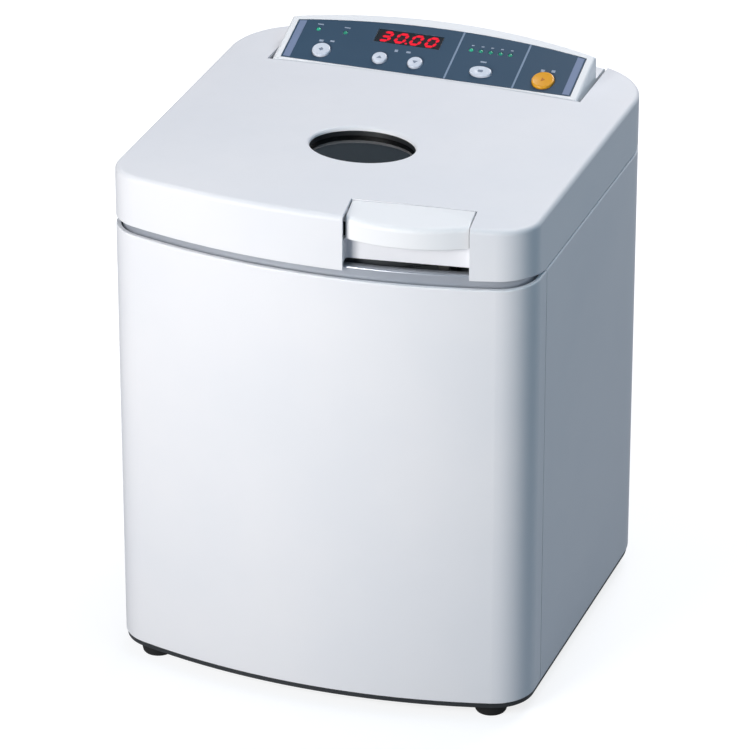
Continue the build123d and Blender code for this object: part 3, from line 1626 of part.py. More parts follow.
with BuildPart() as switch_rocker:
    with BuildSketch(pivot_plane.offset(-rocker_half_width)) as rocker_side:
        with BuildLine():
            Polyline(
                (-rocker_foot, -rocker_foot_half_length),
                (rocker_height, -rocker_half_length),
                (rocker_height - rocker_dip, 0),
                (rocker_height, rocker_half_length),
                (-rocker_foot, rocker_foot_half_length),
                close=True,
            )
        make_face()
    extrude(rocker_side.sketch.rotate(Axis(pivot, (1, 0, 0)), rocker_tilt), amount=2 * rocker_half_width)
    tube(pivot_plane, rocker_pin_radius, 0, -rocker_pin_reach, rocker_pin_reach)
save(switch_rocker, "switch_rocker")

# ---------------------------------------------------------------- fasteners of the case
with BuildPart() as case_screws:
    for x, z in panel_screw_places:
        screw_plane = Plane(origin=(x, service_recess_y, z), z_dir=(0, 1, 0))
        tube(screw_plane, panel_screw_head_radius, 0, 0, panel_screw_head)
        tube(screw_plane, screw_shank_radius, 0, -panel_screw_length, 0)
    for plane in post_planes:
        tube(plane, plate_screw_head_radius, 0, mount_plate_top, mount_plate_top + plate_screw_head)
        tube(plane, plate_screw_radius, 0, post_top_z - plate_screw_grip, mount_plate_top)
save(case_screws, "case_screws")
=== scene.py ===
import bmesh
import bpy
import math
from mathutils import Matrix, Vector


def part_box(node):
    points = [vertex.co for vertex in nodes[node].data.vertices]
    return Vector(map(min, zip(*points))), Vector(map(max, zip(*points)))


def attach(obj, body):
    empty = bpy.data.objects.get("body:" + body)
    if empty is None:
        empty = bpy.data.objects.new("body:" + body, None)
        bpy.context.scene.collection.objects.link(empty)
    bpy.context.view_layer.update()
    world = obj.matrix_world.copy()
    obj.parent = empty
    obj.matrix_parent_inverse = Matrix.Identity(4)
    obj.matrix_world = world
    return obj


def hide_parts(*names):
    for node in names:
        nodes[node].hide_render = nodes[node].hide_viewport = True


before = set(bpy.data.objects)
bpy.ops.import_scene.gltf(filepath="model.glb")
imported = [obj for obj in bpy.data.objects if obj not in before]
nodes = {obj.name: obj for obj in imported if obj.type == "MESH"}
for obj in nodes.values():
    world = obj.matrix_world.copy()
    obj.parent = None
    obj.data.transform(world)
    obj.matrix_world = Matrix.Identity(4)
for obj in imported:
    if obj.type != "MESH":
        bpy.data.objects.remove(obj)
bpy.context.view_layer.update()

# ------------------------------------------------------------ places on the mixer, in metres
DECK_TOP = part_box("top_deck")[1].z
LINER_THICKNESS = 0.0025
LINER_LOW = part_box("lid_liner")[1].z - LINER_THICKNESS
PLATE_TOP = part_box("mount_plate")[1].z
CHAMBER = Vector((0.0, -0.044, 0.0))
CONSOLE_RISE = 0.0455
CONSOLE_FRONT = Vector((0.0, 0.0797, DECK_TOP + CONSOLE_RISE))
CONSOLE_SLOPE = math.radians(20.0)
OVERLAY_HALF_WIDTH = 0.1067
OVERLAY_LOW = 0.0035
OVERLAY_END = 0.043
OVERLAY_MID = 0.053
PRINT_HEIGHT = 0.00005
DISPLAY_X = -0.0226
DISPLAY_UP = 0.0382
DISPLAY_SINK = 0.0004
BUTTON_UP = 0.0146
BUTTON_FACE = 0.0017
LAMP_UP = 0.036
LAMP_RADIUS = 0.0015
LAMP_PAIR = (-0.0896, -0.0694)
LAMP_ROW_MIDDLE = 0.0387
LAMP_PITCH = 0.0072
LAMP_ROW = [LAMP_ROW_MIDDLE + (i - 2) * LAMP_PITCH for i in range(5)]
FOOT_RADIUS = 0.0125
foot_low, foot_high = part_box("rubber_feet")
FOOT_HEIGHT = foot_high.z
FEET = [
    (x, y) for x in (foot_low.x + FOOT_RADIUS, foot_high.x - FOOT_RADIUS)
    for y in (foot_low.y + FOOT_RADIUS, foot_high.y - FOOT_RADIUS)
]
PANEL_FACE_Y = 0.146
PANEL_SCREWS = [(x, z) for x in (-0.084, 0.084) for z in (0.048, 0.142)]
PLATE_SCREWS = [(x, y) for x in (-0.086, 0.086) for y in (-0.112, 0.118)]
LINER_SCREWS = [(x, y) for x in (-0.118, 0.118) for y in (-0.078, 0.048)]
SWITCH_PIVOT = Vector((0.052, 0.1445, 0.112))
ROCKER_TILT = math.radians(9.0)

CONSOLE = Matrix.Translation(CONSOLE_FRONT) @ Matrix.Rotation(CONSOLE_SLOPE, 4, "X")


# ------------------------------------------------------------ colours
def linear(value):
    value /= 255
    return value / 12.92 if value <= 0.04045 else ((value + 0.055) / 1.055) ** 2.4


def shade(red, green, blue):
    return (linear(red), linear(green), linear(blue), 1.0)


def scaled(tone, share, lift=0.0):
    """A tone made darker or lighter, up to white."""
    return tuple(min(1.0, value * share + lift) for value in tone[:3]) + (1.0,)


# ------------------------------------------------------------ shared finish groups
def new_group(name, inputs, outputs):
    """Start a shader node group: sockets go in as (kind, name, default) and come out as (kind, name)."""
    group = bpy.data.node_groups.new(name, "ShaderNodeTree")
    for kind, label, default in inputs:
        socket = group.interface.new_socket(name=label, in_out="INPUT", socket_type=kind)
        socket.default_value = default
    for kind, label in outputs:
        group.interface.new_socket(name=label, in_out="OUTPUT", socket_type=kind)
    return group, group.nodes.new("NodeGroupInput"), group.nodes.new("NodeGroupOutput")


def link(tree, source, target):
    tree.links.new(source, target)


def math_node(tree, operation, first, second=None, clamp=False):
    node = tree.nodes.new("ShaderNodeMath")
    node.operation = operation
    node.use_clamp = clamp
    for socket, value in zip(node.inputs, (first, second)):
        if value is None:
            continue
        if isinstance(value, (int, float)):
            socket.default_value = value
        else:
            link(tree, value, socket)
    return node.outputs[0]


def object_place(tree):
    return tree.nodes.new("ShaderNodeTexCoord").outputs["Object"]


def noise(tree, place, scale, detail=2.0, roughness=0.5):
    node = tree.nodes.new("ShaderNodeTexNoise")
    node.inputs["Detail"].default_value = detail
    node.inputs["Roughness"].default_value = roughness
    link(tree, place, node.inputs["Vector"])
    if isinstance(scale, (int, float)):
        node.inputs["Scale"].default_value = scale
    else:
        link(tree, scale, node.inputs["Scale"])
    return node.outputs["Fac"]


def between(tree, factor, low, high):
    """Smooth step of a value from low to high."""
    node = tree.nodes.new("ShaderNodeMapRange")
    node.interpolation_type = "SMOOTHSTEP"
    node.inputs["From Min"].default_value = low
    node.inputs["From Max"].default_value = high
    link(tree, factor, node.inputs["Value"])
    return node.outputs["Result"]


FLOAT, COLOUR, VECTOR = "NodeSocketFloat", "NodeSocketColor", "NodeSocketVector"


def make_tone_drift():
    """Slow change between two close tones, as moulded or painted surfaces have."""
    group, start, end = new_group(
        "Tone drift",
        [
            (COLOUR, "Tone", (0.8, 0.8, 0.8, 1)),
            (COLOUR, "Second Tone", (0.7, 0.7, 0.7, 1)),
            (FLOAT, "Size", 12.0),
        ],
        [(COLOUR, "Colour"), (FLOAT, "Mask")],
    )
    place = object_place(group)
    broad = noise(group, place, start.outputs["Size"], 3.0)
    mask = between(group, broad, 0.32, 0.68)
    mix = group.nodes.new("ShaderNodeMix")
    mix.data_type = "RGBA"
    link(group, mask, mix.inputs["Factor"])
    link(group, start.outputs["Tone"], mix.inputs["A"])
    link(group, start.outputs["Second Tone"], mix.inputs["B"])
    link(group, mix.outputs["Result"], end.inputs["Colour"])
    link(group, mask, end.inputs["Mask"])
    return group


def make_moulded_grain():
    """Fine grain left by a textured mould: cells broken up by noise."""
    group, start, end = new_group(
        "Moulded grain",
        [(FLOAT, "Size", 900.0), (FLOAT, "Depth", 1.0)],
        [(FLOAT, "Height"), (FLOAT, "Mask")],
    )
    place = object_place(group)
    cells = group.nodes.new("ShaderNodeTexVoronoi")
    link(group, place, cells.inputs["Vector"])
    link(group, start.outputs["Size"], cells.inputs["Scale"])
    fine = noise(group, place, math_node(group, "MULTIPLY", start.outputs["Size"], 2.3), 2.0)
    blend = math_node(group, "ADD", cells.outputs["Distance"], fine)
    link(group, math_node(group, "MULTIPLY", blend, start.outputs["Depth"]), end.inputs["Height"])
    link(group, math_node(group, "MULTIPLY", blend, 0.5), end.inputs["Mask"])
    return group


def make_handled_gloss():
    """Roughness that varies where the surface is wiped and handled."""
    group, start, end = new_group(
        "Handled gloss",
        [(FLOAT, "Roughness", 0.35), (FLOAT, "Change", 0.08), (FLOAT, "Size", 25.0)],
        [(FLOAT, "Roughness")],
    )
    place = object_place(group)
    patches = noise(group, place, start.outputs["Size"], 5.0, 0.6)
    swing = math_node(group, "MULTIPLY", math_node(group, "SUBTRACT", patches, 0.5), start.outputs["Change"])
    doubled = math_node(group, "MULTIPLY", swing, 2.0)
    result = math_node(group, "ADD", start.outputs["Roughness"], doubled, clamp=True)
    link(group, result, end.inputs["Roughness"])
    return group


def make_worn_edge_highlight():
    """Mask along edges, from the difference between the flat and the bevelled normal, broken up by noise; the
    finishes make these edges lighter, partly as worn edges and partly as a painted highlight.
    """
    group, start, end = new_group(
        "Worn edges and painted highlight",
        [(FLOAT, "Width", 0.0006), (FLOAT, "Amount", 1.0)],
        [(FLOAT, "Mask"), (VECTOR, "Normal")],
    )
    bevel = group.nodes.new("ShaderNodeBevel")
    bevel.samples = 4
    link(group, start.outputs["Width"], bevel.inputs["Radius"])
    geometry = group.nodes.new("ShaderNodeNewGeometry")
    dot = group.nodes.new("ShaderNodeVectorMath")
    dot.operation = "DOT_PRODUCT"
    link(group, bevel.outputs["Normal"], dot.inputs[0])
    link(group, geometry.outputs["Normal"], dot.inputs[1])
    turned = math_node(group, "SUBTRACT", 1.0, dot.outputs["Value"])
    broken = between(group, noise(group, object_place(group), 180.0, 4.0), 0.35, 0.7)
    worn = math_node(group, "MULTIPLY", math_node(group, "MULTIPLY", turned, 6.0), broken)
    link(group, math_node(group, "MULTIPLY", worn, start.outputs["Amount"], clamp=True), end.inputs["Mask"])
    link(group, bevel.outputs["Normal"], end.inputs["Normal"])
    return group


def make_settled_dust():
    """Faint dust on surfaces that face up."""
    group, start, end = new_group(
        "Settled dust", [(FLOAT, "Amount", 0.1), (FLOAT, "Size", 60.0)], [(FLOAT, "Mask")]
    )
    geometry = group.nodes.new("ShaderNodeNewGeometry")
    parts = group.nodes.new("ShaderNodeSeparateXYZ")
    link(group, geometry.outputs["Normal"], parts.inputs[0])
    facing = between(group, parts.outputs["Z"], 0.2, 0.95)
    specks = between(group, noise(group, object_place(group), start.outputs["Size"], 6.0, 0.7), 0.45, 0.75)
    mask = math_node(group, "MULTIPLY", math_node(group, "MULTIPLY", facing, specks), start.outputs["Amount"])
    link(group, mask, end.inputs["Mask"])
    return group


def make_brushing():
    """Straight brush lines along X, from one noise stretched across them."""
    group, start, end = new_group(
        "Brushing", [(FLOAT, "Fineness", 1.0), (FLOAT, "Depth", 1.0)], [(FLOAT, "Height"), (FLOAT, "Mask")]
    )
    mapping = group.nodes.new("ShaderNodeMapping")
    mapping.inputs["Scale"].default_value = (12.0, 1400.0, 1400.0)
    link(group, object_place(group), mapping.inputs["Vector"])
    lines = noise(group, mapping.outputs["Vector"], start.outputs["Fineness"], 3.0, 0.6)
    link(group, math_node(group, "MULTIPLY", lines, start.outputs["Depth"]), end.inputs["Height"])
    link(group, lines, end.inputs["Mask"])
    return group


def make_turned_lines():
    """Fine rings left by turning or spinning, about an upright axis through a centre."""
    group, start, end = new_group(
        "Turned lines",
        [(VECTOR, "Centre", (0.0, 0.0, 0.0)), (FLOAT, "Fineness", 1500.0), (FLOAT, "Depth", 1.0)],
        [(FLOAT, "Height"), (FLOAT, "Mask")],
    )
    offset = group.nodes.new("ShaderNodeVectorMath")
    offset.operation = "SUBTRACT"
    link(group, object_place(group), offset.inputs[0])
    link(group, start.outputs["Centre"], offset.inputs[1])
    parts = group.nodes.new("ShaderNodeSeparateXYZ")
    link(group, offset.outputs["Vector"], parts.inputs[0])
    across = math_node(group, "POWER", parts.outputs["X"], 2.0)
    along = math_node(group, "POWER", parts.outputs["Y"], 2.0)
    radius = math_node(group, "SQRT", math_node(group, "ADD", across, along))
    ring = group.nodes.new("ShaderNodeCombineXYZ")
    link(group, radius, ring.inputs["X"])
    link(group, parts.outputs["Z"], ring.inputs["Z"])
    lines = noise(group, ring.outputs["Vector"], start.outputs["Fineness"], 3.0, 0.6)
    link(group, math_node(group, "MULTIPLY", lines, start.outputs["Depth"]), end.inputs["Height"])
    link(group, lines, end.inputs["Mask"])
    return group


GROUPS = {
    "tone": make_tone_drift(),
    "grain": make_moulded_grain(),
    "gloss": make_handled_gloss(),
    "edge": make_worn_edge_highlight(),
    "dust": make_settled_dust(),
    "brush": make_brushing(),
    "turned": make_turned_lines(),
}


# ------------------------------------------------------------ materials
finishes = {}


def new_material(name):
    """Start a material, kept under its name in the finishes."""
    material = finishes[name] = bpy.data.materials.new(name)
    material.use_nodes = True
    tree = material.node_tree
    return tree, tree.nodes["Principled BSDF"]


def place_group(tree, key, **values):
    node = tree.nodes.new("ShaderNodeGroup")
    node.node_tree = GROUPS[key]
    for label, value in values.items():
        node.inputs[label.replace("_", " ")].default_value = value
    return node


def mix_colour(tree, factor, first, second):
    mix = tree.nodes.new("ShaderNodeMix")
    mix.data_type = "RGBA"
    link(tree, factor, mix.inputs["Factor"])
    for socket, value in ((mix.inputs["A"], first), (mix.inputs["B"], second)):
        if isinstance(value, tuple):
            socket.default_value = value
        else:
            link(tree, value, socket)
    return mix.outputs["Result"]


def bump(tree, shader, height, strength, distance, normal=None):
    node = tree.nodes.new("ShaderNodeBump")
    node.inputs["Strength"].default_value = strength
    node.inputs["Distance"].default_value = distance
    link(tree, height, node.inputs["Height"])
    if normal is not None:
        link(tree, normal, node.inputs["Normal"])
    link(tree, node.outputs["Normal"], shader.inputs["Normal"])


def moulded(
    name, tone, second, roughness, grain_size, grain_depth, edge_wear_highlight=0.0, dust=0.0, coat=0.0, metallic=0.0
):
    """Moulded plastic or paint: drifting tone, mould grain, handled gloss, edges made lighter (partly worn,
    partly a painted highlight) and a little dust.
    """
    tree, shader = new_material(name)
    drift = place_group(tree, "tone", Tone=tone, Second_Tone=second, Size=9.0)
    edges = place_group(tree, "edge", Width=0.0005, Amount=edge_wear_highlight)
    # Lighter tone along edges: partly worn edges, partly a painted highlight.
    rubbed_and_highlit_tone = scaled(tone, 1.25, 0.02)
    colour = mix_colour(tree, edges.outputs["Mask"], drift.outputs["Colour"], rubbed_and_highlit_tone)
    settled = place_group(tree, "dust", Amount=dust, Size=70.0)
    colour = mix_colour(tree, settled.outputs["Mask"], colour, shade(196, 194, 190))
    link(tree, colour, shader.inputs["Base Color"])
    gloss = place_group(tree, "gloss", Roughness=roughness, Change=0.05, Size=22.0)
    link(tree, gloss.outputs["Roughness"], shader.inputs["Roughness"])
    shader.inputs["Metallic"].default_value = metallic
    shader.inputs["Coat Weight"].default_value = coat
    shader.inputs["Coat Roughness"].default_value = 0.12
    grain = place_group(tree, "grain", Size=grain_size, Depth=1.0)
    bump(tree, shader, grain.outputs["Height"], grain_depth, 0.00008, edges.outputs["Normal"])


def bare_metal(name, tone, second, roughness, finish, depth=0.12, centre=(0, 0, 0), edge_wear_highlight=0.6):
    """Bare metal with brushed or turned lines that show in its gloss as well as its surface."""
    tree, shader = new_material(name)
    drift = place_group(tree, "tone", Tone=tone, Second_Tone=second, Size=14.0)
    edges = place_group(tree, "edge", Width=0.0004, Amount=edge_wear_highlight)
    # Brighter tone along edges: partly worn metal, partly a painted highlight.
    worn_and_highlit_tone = scaled(tone, 1.3)
    colour = mix_colour(tree, edges.outputs["Mask"], drift.outputs["Colour"], worn_and_highlit_tone)
    link(tree, colour, shader.inputs["Base Color"])
    shader.inputs["Metallic"].default_value = 1.0
    if finish == "turned":
        lines = place_group(tree, "turned", Centre=centre, Fineness=1500.0, Depth=1.0)
    elif finish == "brushed":
        lines = place_group(tree, "brush", Fineness=1.0, Depth=1.0)
    else:
        lines = place_group(tree, "grain", Size=1600.0, Depth=1.0)
    spread = math_node(tree, "MULTIPLY", math_node(tree, "SUBTRACT", lines.outputs["Mask"], 0.5), 0.22)
    link(tree, math_node(tree, "ADD", spread, roughness, clamp=True), shader.inputs["Roughness"])
    bump(tree, shader, lines.outputs["Height"], depth, 0.00006, edges.outputs["Normal"])


def soft_rubber(name, tone, second, roughness=0.75, grain=700.0):
    """Matt rubber or foam with settled dust in its grain."""
    tree, shader = new_material(name)
    drift = place_group(tree, "tone", Tone=tone, Second_Tone=second, Size=40.0)
    settled = place_group(tree, "dust", Amount=0.25, Size=120.0)
    colour = mix_colour(tree, settled.outputs["Mask"], drift.outputs["Colour"], shade(120, 118, 114))
    link(tree, colour, shader.inputs["Base Color"])
    gloss = place_group(tree, "gloss", Roughness=roughness, Change=0.08, Size=60.0)
    link(tree, gloss.outputs["Roughness"], shader.inputs["Roughness"])
    cells = place_group(tree, "grain", Size=grain, Depth=1.0)
    bump(tree, shader, cells.outputs["Height"], 0.35, 0.0001)


def clear_pane(name, tone, roughness):
    """Tinted clear plastic with a faint ripple."""
    tree, shader = new_material(name)
    drift = place_group(tree, "tone", Tone=tone, Second_Tone=scaled(tone, 0.96), Size=20.0)
    link(tree, drift.outputs["Colour"], shader.inputs["Base Color"])
    gloss = place_group(tree, "gloss", Roughness=roughness, Change=0.02, Size=40.0)
    link(tree, gloss.outputs["Roughness"], shader.inputs["Roughness"])
    shader.inputs["Transmission Weight"].default_value = 1.0
    shader.inputs["IOR"].default_value = 1.45
    ripple = noise(tree, object_place(tree), 60.0, 2.0)
    bump(tree, shader, ripple, 0.02, 0.0004)


def lamp_lens(name, tone, glow, strength):
    """Small moulded lens that glows when its lamp is lit."""
    tree, shader = new_material(name)
    drift = place_group(tree, "tone", Tone=tone, Second_Tone=scaled(tone, 0.8), Size=400.0)
    link(tree, drift.outputs["Colour"], shader.inputs["Base Color"])
    link(tree, drift.outputs["Colour"], shader.inputs["Emission Color"])
    shader.inputs["Emission Strength"].default_value = strength
    gloss = place_group(tree, "gloss", Roughness=0.2, Change=0.05, Size=300.0)
    link(tree, gloss.outputs["Roughness"], shader.inputs["Roughness"])
    shader.inputs["Coat Weight"].default_value = glow


WHITE = shade(240, 241, 245)
WHITE_SECOND = shade(236, 238, 243)
# Lighter white: the console's own tone, and on the handle painted light.
BRIGHT = shade(248, 249, 252)
BRIGHT_SECOND = shade(245, 247, 250)
COARSE_GRAIN, FINE_GRAIN, CAP_GRAIN, PRINT_GRAIN = 700.0, 1300.0, 1800.0, 2400.0

# Moulded plastic, paint and ink: tone, second tone, roughness, grain size, grain depth
moulded("front plastic", WHITE, WHITE_SECOND, 0.54, FINE_GRAIN, 0.08, edge_wear_highlight=0.15, dust=0.02)
moulded("cover paint", shade(236, 238, 243), shade(231, 234, 240), 0.38, 800.0, 0.14, edge_wear_highlight=0.2)
moulded("lid plastic", WHITE, WHITE_SECOND, 0.55, FINE_GRAIN, 0.08, edge_wear_highlight=0.15, dust=0.03)
# The handle is the lid's white plastic made lighter: painted light for the extra light its sloping top
# catches.
moulded("handle plastic with painted light", BRIGHT, BRIGHT_SECOND, 0.52, FINE_GRAIN, 0.06, edge_wear_highlight=0.1, dust=0.02)
moulded("console plastic", BRIGHT, BRIGHT_SECOND, 0.5, FINE_GRAIN, 0.10, edge_wear_highlight=0.15, dust=0.02)
moulded("overlay film", shade(56, 82, 105), shade(52, 78, 101), 0.3, PRINT_GRAIN, 0.08)
moulded("rim silver", shade(200, 204, 211), shade(188, 193, 201), 0.3, 1600.0, 0.12, edge_wear_highlight=0.4, metallic=0.75)
moulded("liner plastic", shade(104, 109, 113), shade(96, 101, 106), 0.5, COARSE_GRAIN, 0.2, dust=0.03)
moulded("dark plastic", shade(38, 40, 43), shade(30, 32, 35), 0.45, 900.0, 0.3, edge_wear_highlight=0.25)
moulded("cup plastic", shade(224, 226, 228), shade(214, 217, 221), 0.4, 900.0, 0.15, edge_wear_highlight=0.2)
moulded("board laminate", shade(32, 92, 60), shade(24, 76, 50), 0.4, CAP_GRAIN, 0.15, coat=0.4)
moulded("dark paint", shade(52, 54, 57), shade(44, 46, 49), 0.4, COARSE_GRAIN, 0.25, edge_wear_highlight=0.3)
moulded("motor enamel", shade(44, 46, 50), shade(34, 36, 40), 0.35, 600.0, 0.25, edge_wear_highlight=0.5)
moulded("white cap", shade(226, 233, 244), shade(219, 226, 239), 0.28, CAP_GRAIN, 0.06, coat=0.2)
moulded("orange cap", shade(243, 178, 44), shade(238, 168, 36), 0.28, CAP_GRAIN, 0.06, coat=0.3)
moulded("smoked window", shade(26, 24, 28), shade(18, 17, 20), 0.12, 2000.0, 0.02, coat=0.6)
moulded("stripe ink", shade(128, 143, 174), shade(121, 137, 169), 0.4, PRINT_GRAIN, 0.1)
moulded("line ink", shade(138, 157, 181), shade(131, 151, 176), 0.4, PRINT_GRAIN, 0.1)
moulded("button print", shade(136, 148, 166), shade(128, 141, 160), 0.5, PRINT_GRAIN, 0.1)
moulded("orange print", shade(206, 128, 30), shade(198, 120, 26), 0.5, PRINT_GRAIN, 0.1)
moulded("white print", shade(222, 224, 226), shade(212, 215, 218), 0.5, PRINT_GRAIN, 0.1)
moulded("mark ink", shade(168, 182, 200), shade(158, 172, 192), 0.4, PRINT_GRAIN, 0.1)
# Bare metal: tone, second tone, roughness, lines, their depth
bare_metal("zinc plate", shade(190, 190, 184), shade(172, 174, 170), 0.36, "brushed")
bare_metal("ground steel", shade(205, 205, 206), shade(190, 191, 194), 0.16, "brushed", 0.06)
bare_metal("spun steel", shade(200, 201, 203), shade(188, 190, 193), 0.26, "turned", 0.10, CHAMBER)
bare_metal("cast alloy", shade(200, 202, 205), shade(186, 189, 193), 0.38, "grain", 0.25)
bare_metal("black iron", shade(86, 87, 90), shade(70, 71, 75), 0.42, "turned", 0.15, CHAMBER)
bare_metal("nickel", shade(210, 205, 192), shade(196, 190, 178), 0.22, "brushed", 0.08)
# Rubber and foam: tone, second tone, roughness, grain size
soft_rubber("foot rubber", shade(30, 30, 31), shade(22, 22, 23))
soft_rubber("seal foam", shade(112, 114, 116), shade(98, 100, 103), 0.85, 450.0)
soft_rubber("belt rubber", shade(34, 34, 35), shade(26, 26, 27), 0.6)
soft_rubber("belt cord", shade(70, 122, 92), shade(60, 110, 82), 0.45)
# Pane and lamps
clear_pane("pane", shade(70, 80, 84), 0.02)
lamp_lens("red digits", shade(206, 10, 36), 0.0, 0.95)
lamp_lens("unlit digits", shade(58, 20, 26), 0.2, 0.05)
lamp_lens("lit lens", shade(40, 158, 124), 0.4, 0.6)
lamp_lens("dim lens", shade(32, 134, 108), 0.4, 0.45)

NODE_FINISH = {
    "front plastic": ["front_panel"],
    "cover paint": ["side_rear_cover", "rear_panel"],
    "lid plastic": ["lid_shell", "handle_pocket"],
    "handle plastic with painted light": ["handle_paddle"],
    "console plastic": ["console_housing"],
    "overlay film": ["console_overlay"],
    "rim silver": ["silver_rim"],
    "liner plastic": ["lid_liner", "top_deck"],
    "dark plastic": ["window_shroud", "power_inlet", "switch_frame", "switch_rocker"],
    "cup plastic": ["cup_adapter"],
    "board laminate": ["control_board"],
    "motor enamel": ["motor"],
    "white cap": ["mode_button", "up_button", "down_button", "select_button"],
    "orange cap": ["start_button"],
    "smoked window": ["display_module"],
    "dark paint": ["base_plate"],
    "zinc plate": [
        "hinge_brackets", "hinge_arms", "latch_hook", "latch_striker", "mount_plate",
        "support_posts", "rotor_fasteners", "case_screws",
    ],
    "ground steel": [
        "hinge_pins", "handle_pin", "shaft_bearings", "main_shaft", "motor_shaft", "holder_spindle",
        "holder_bearings", "guide_pins",
    ],
    "spun steel": ["chamber_bowl"],
    "cast alloy": [
        "bearing_housing", "shaft_pulley", "motor_pulley", "cup_holder", "holder_pulley", "sun_pulley",
        "guide_roller_front", "guide_roller_rear", "rotor_arm",
    ],
    "black iron": ["counterweight"],
    "nickel": ["inlet_pins"],
    "foot rubber": ["rubber_feet", "rubber_isolators"],
    "seal foam": ["lid_seal"],
    "belt rubber": ["drive_belt"],
    "belt cord": ["rotor_belt"],
    "pane": ["window_glass"],
    "dim lens": ["status_lamps"],
}
for finish, names in NODE_FINISH.items():
    for name in names:
        nodes[name].data.materials.clear()
        nodes[name].data.materials.append(finishes[finish])


# ------------------------------------------------------------ meshes
def new_piece(name, mesh, finish, body, smooth=False):
    piece = bpy.data.objects.new(name, mesh)
    bpy.context.scene.collection.objects.link(piece)
    mesh.materials.append(finishes[finish])
    for polygon in mesh.polygons:
        polygon.use_smooth = smooth
    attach(piece, body)
    return piece


def mesh_of(shape, name):
    mesh = bpy.data.meshes.new(name)
    shape.to_mesh(mesh)
    shape.free()
    return mesh


def prism_mesh(name, outlines, low, high, places, low_scale=1, high_scale=1):
    """Closed prisms at each place: outlines of (x, y) points, from low to high, scaled at either end."""
    shape = bmesh.new()
    for place in places:
        for outline in outlines:
            bottom, top = (
                [shape.verts.new(place @ Vector((x * scale, y * scale, level))) for x, y in outline]
                for level, scale in ((low, low_scale), (high, high_scale))
            )
            shape.faces.new(top)
            shape.faces.new(bottom[::-1])
            for i in range(len(outline)):
                j = (i + 1) % len(outline)
                shape.faces.new((bottom[i], bottom[j], top[j], top[i]))
    return mesh_of(shape, name)


def turned_mesh(name, profile, places, steps=32, ring=False):
    """Turned shapes about each place's Z; a (radius, height) profile runs from axis to axis or as a ring."""
    shape = bmesh.new()
    for place in places:
        rings = []
        for radius, height in profile:
            if radius == 0:
                rings.append([shape.verts.new(place @ Vector((0, 0, height)))])
                continue
            turns = [2 * math.pi * i / steps for i in range(steps)]
            rim = [Vector((radius * math.cos(turn), radius * math.sin(turn), height)) for turn in turns]
            rings.append([shape.verts.new(place @ point) for point in rim])
        for below, above in zip(rings, rings[1:] + rings[:1] if ring else rings[1:]):
            for i in range(steps):
                j = (i + 1) % steps
                if len(below) == 1:
                    shape.faces.new((below[0], above[j], above[i]))
                elif len(above) == 1:
                    shape.faces.new((below[i], below[j], above[0]))
                else:
                    shape.faces.new((below[i], below[j], above[j], above[i]))
    bmesh.ops.recalc_face_normals(shape, faces=shape.faces)
    return mesh_of(shape, name)


def printed(name, outlines, place, finish, body="case", low=0, high=PRINT_HEIGHT):
    """Thin print on a face of a piece."""
    return new_piece(name, prism_mesh(name, outlines, low, high, [place]), finish, body)


def rounded_corner(radius, centre, start, end, steps=5):
    angles = [start + (end - start) * i / steps for i in range(steps + 1)]
    return [(centre[0] + radius * math.cos(a), centre[1] + radius * math.sin(a)) for a in angles]


# ------------------------------------------------------------ display digits
SEGMENTS = {"0": "abcdef", "3": "abcdg"}
DIGITS = ("3", "0", "0", "0")
DIGIT_HEIGHT = 0.0110
DIGIT_WIDTH = 0.0084
DIGIT_PITCH = 0.0113
DIGIT_STROKE = 0.0023
DIGIT_SLANT = math.radians(12.0)
DIGIT_GAP = 0.0002
POINT_RADIUS = 0.0009


def segment_outline(letter):
    """Six-sided bar of one segment, about the digit's middle."""
    half_width = (DIGIT_WIDTH - DIGIT_STROKE) / 2
    half_height = (DIGIT_HEIGHT - DIGIT_STROKE) / 2
    half = DIGIT_STROKE / 2
    level = {"a": half_height, "g": 0.0, "d": -half_height}
    if letter in level:
        reach = half_width - DIGIT_GAP
        y = level[letter]
        points = [(-reach, y), (-reach + half, y + half), (reach - half, y + half), (reach, y)]
        points += [(reach - half, y - half), (-reach + half, y - half)]
        return points[::-1]
    side = 1 if letter in "bc" else -1
    low, high = DIGIT_GAP, half_height - DIGIT_GAP
    if letter in "ce":
        low, high = -high, -low
    x = side * half_width
    return [
        (x, low), (x + half, low + half), (x + half, high - half),
        (x, high), (x - half, high - half), (x - half, low + half),
    ]


def digit_outlines(lit):
    outlines = []
    for place, digit in enumerate(DIGITS):
        middle = DISPLAY_X + (place - 1.5) * DIGIT_PITCH
        for letter in "abcdefg":
            if (letter in SEGMENTS[digit]) == lit:
                bar = segment_outline(letter)
                outlines.append([(middle + x + y * math.tan(DIGIT_SLANT), DISPLAY_UP + y) for x, y in bar])
        sunk = DIGIT_HEIGHT / 2 - POINT_RADIUS
        dot = (middle + DIGIT_PITCH / 2 - sunk * math.tan(DIGIT_SLANT), DISPLAY_UP - sunk)
        if (place == 1) == lit:
            outlines.append(rounded_corner(POINT_RADIUS, dot, 0, 2 * math.pi * 11 / 12, 11))
    return outlines


for name, lit, finish in (("lit_segments", True, "red digits"), ("unlit_segments", False, "unlit digits")):
    printed(
        name, digit_outlines(lit), CONSOLE, finish,
        low=-DISPLAY_SINK, high=-DISPLAY_SINK + PRINT_HEIGHT,
    )


# ------------------------------------------------------------ print on the console
def overlay_top(x):
    """Upper edge of the overlay, an arc through its two ends and its middle."""
    rise = OVERLAY_MID - OVERLAY_END
    radius = (OVERLAY_HALF_WIDTH ** 2 + rise ** 2) / (2 * rise)
    return OVERLAY_MID - radius + math.sqrt(radius ** 2 - x ** 2)


STRIPE_WIDTH = 0.0062
STRIPE_INSET = 0.0010
LINE_WIDTH = 0.0014
LINES_AT = (0.0143, 0.0643)


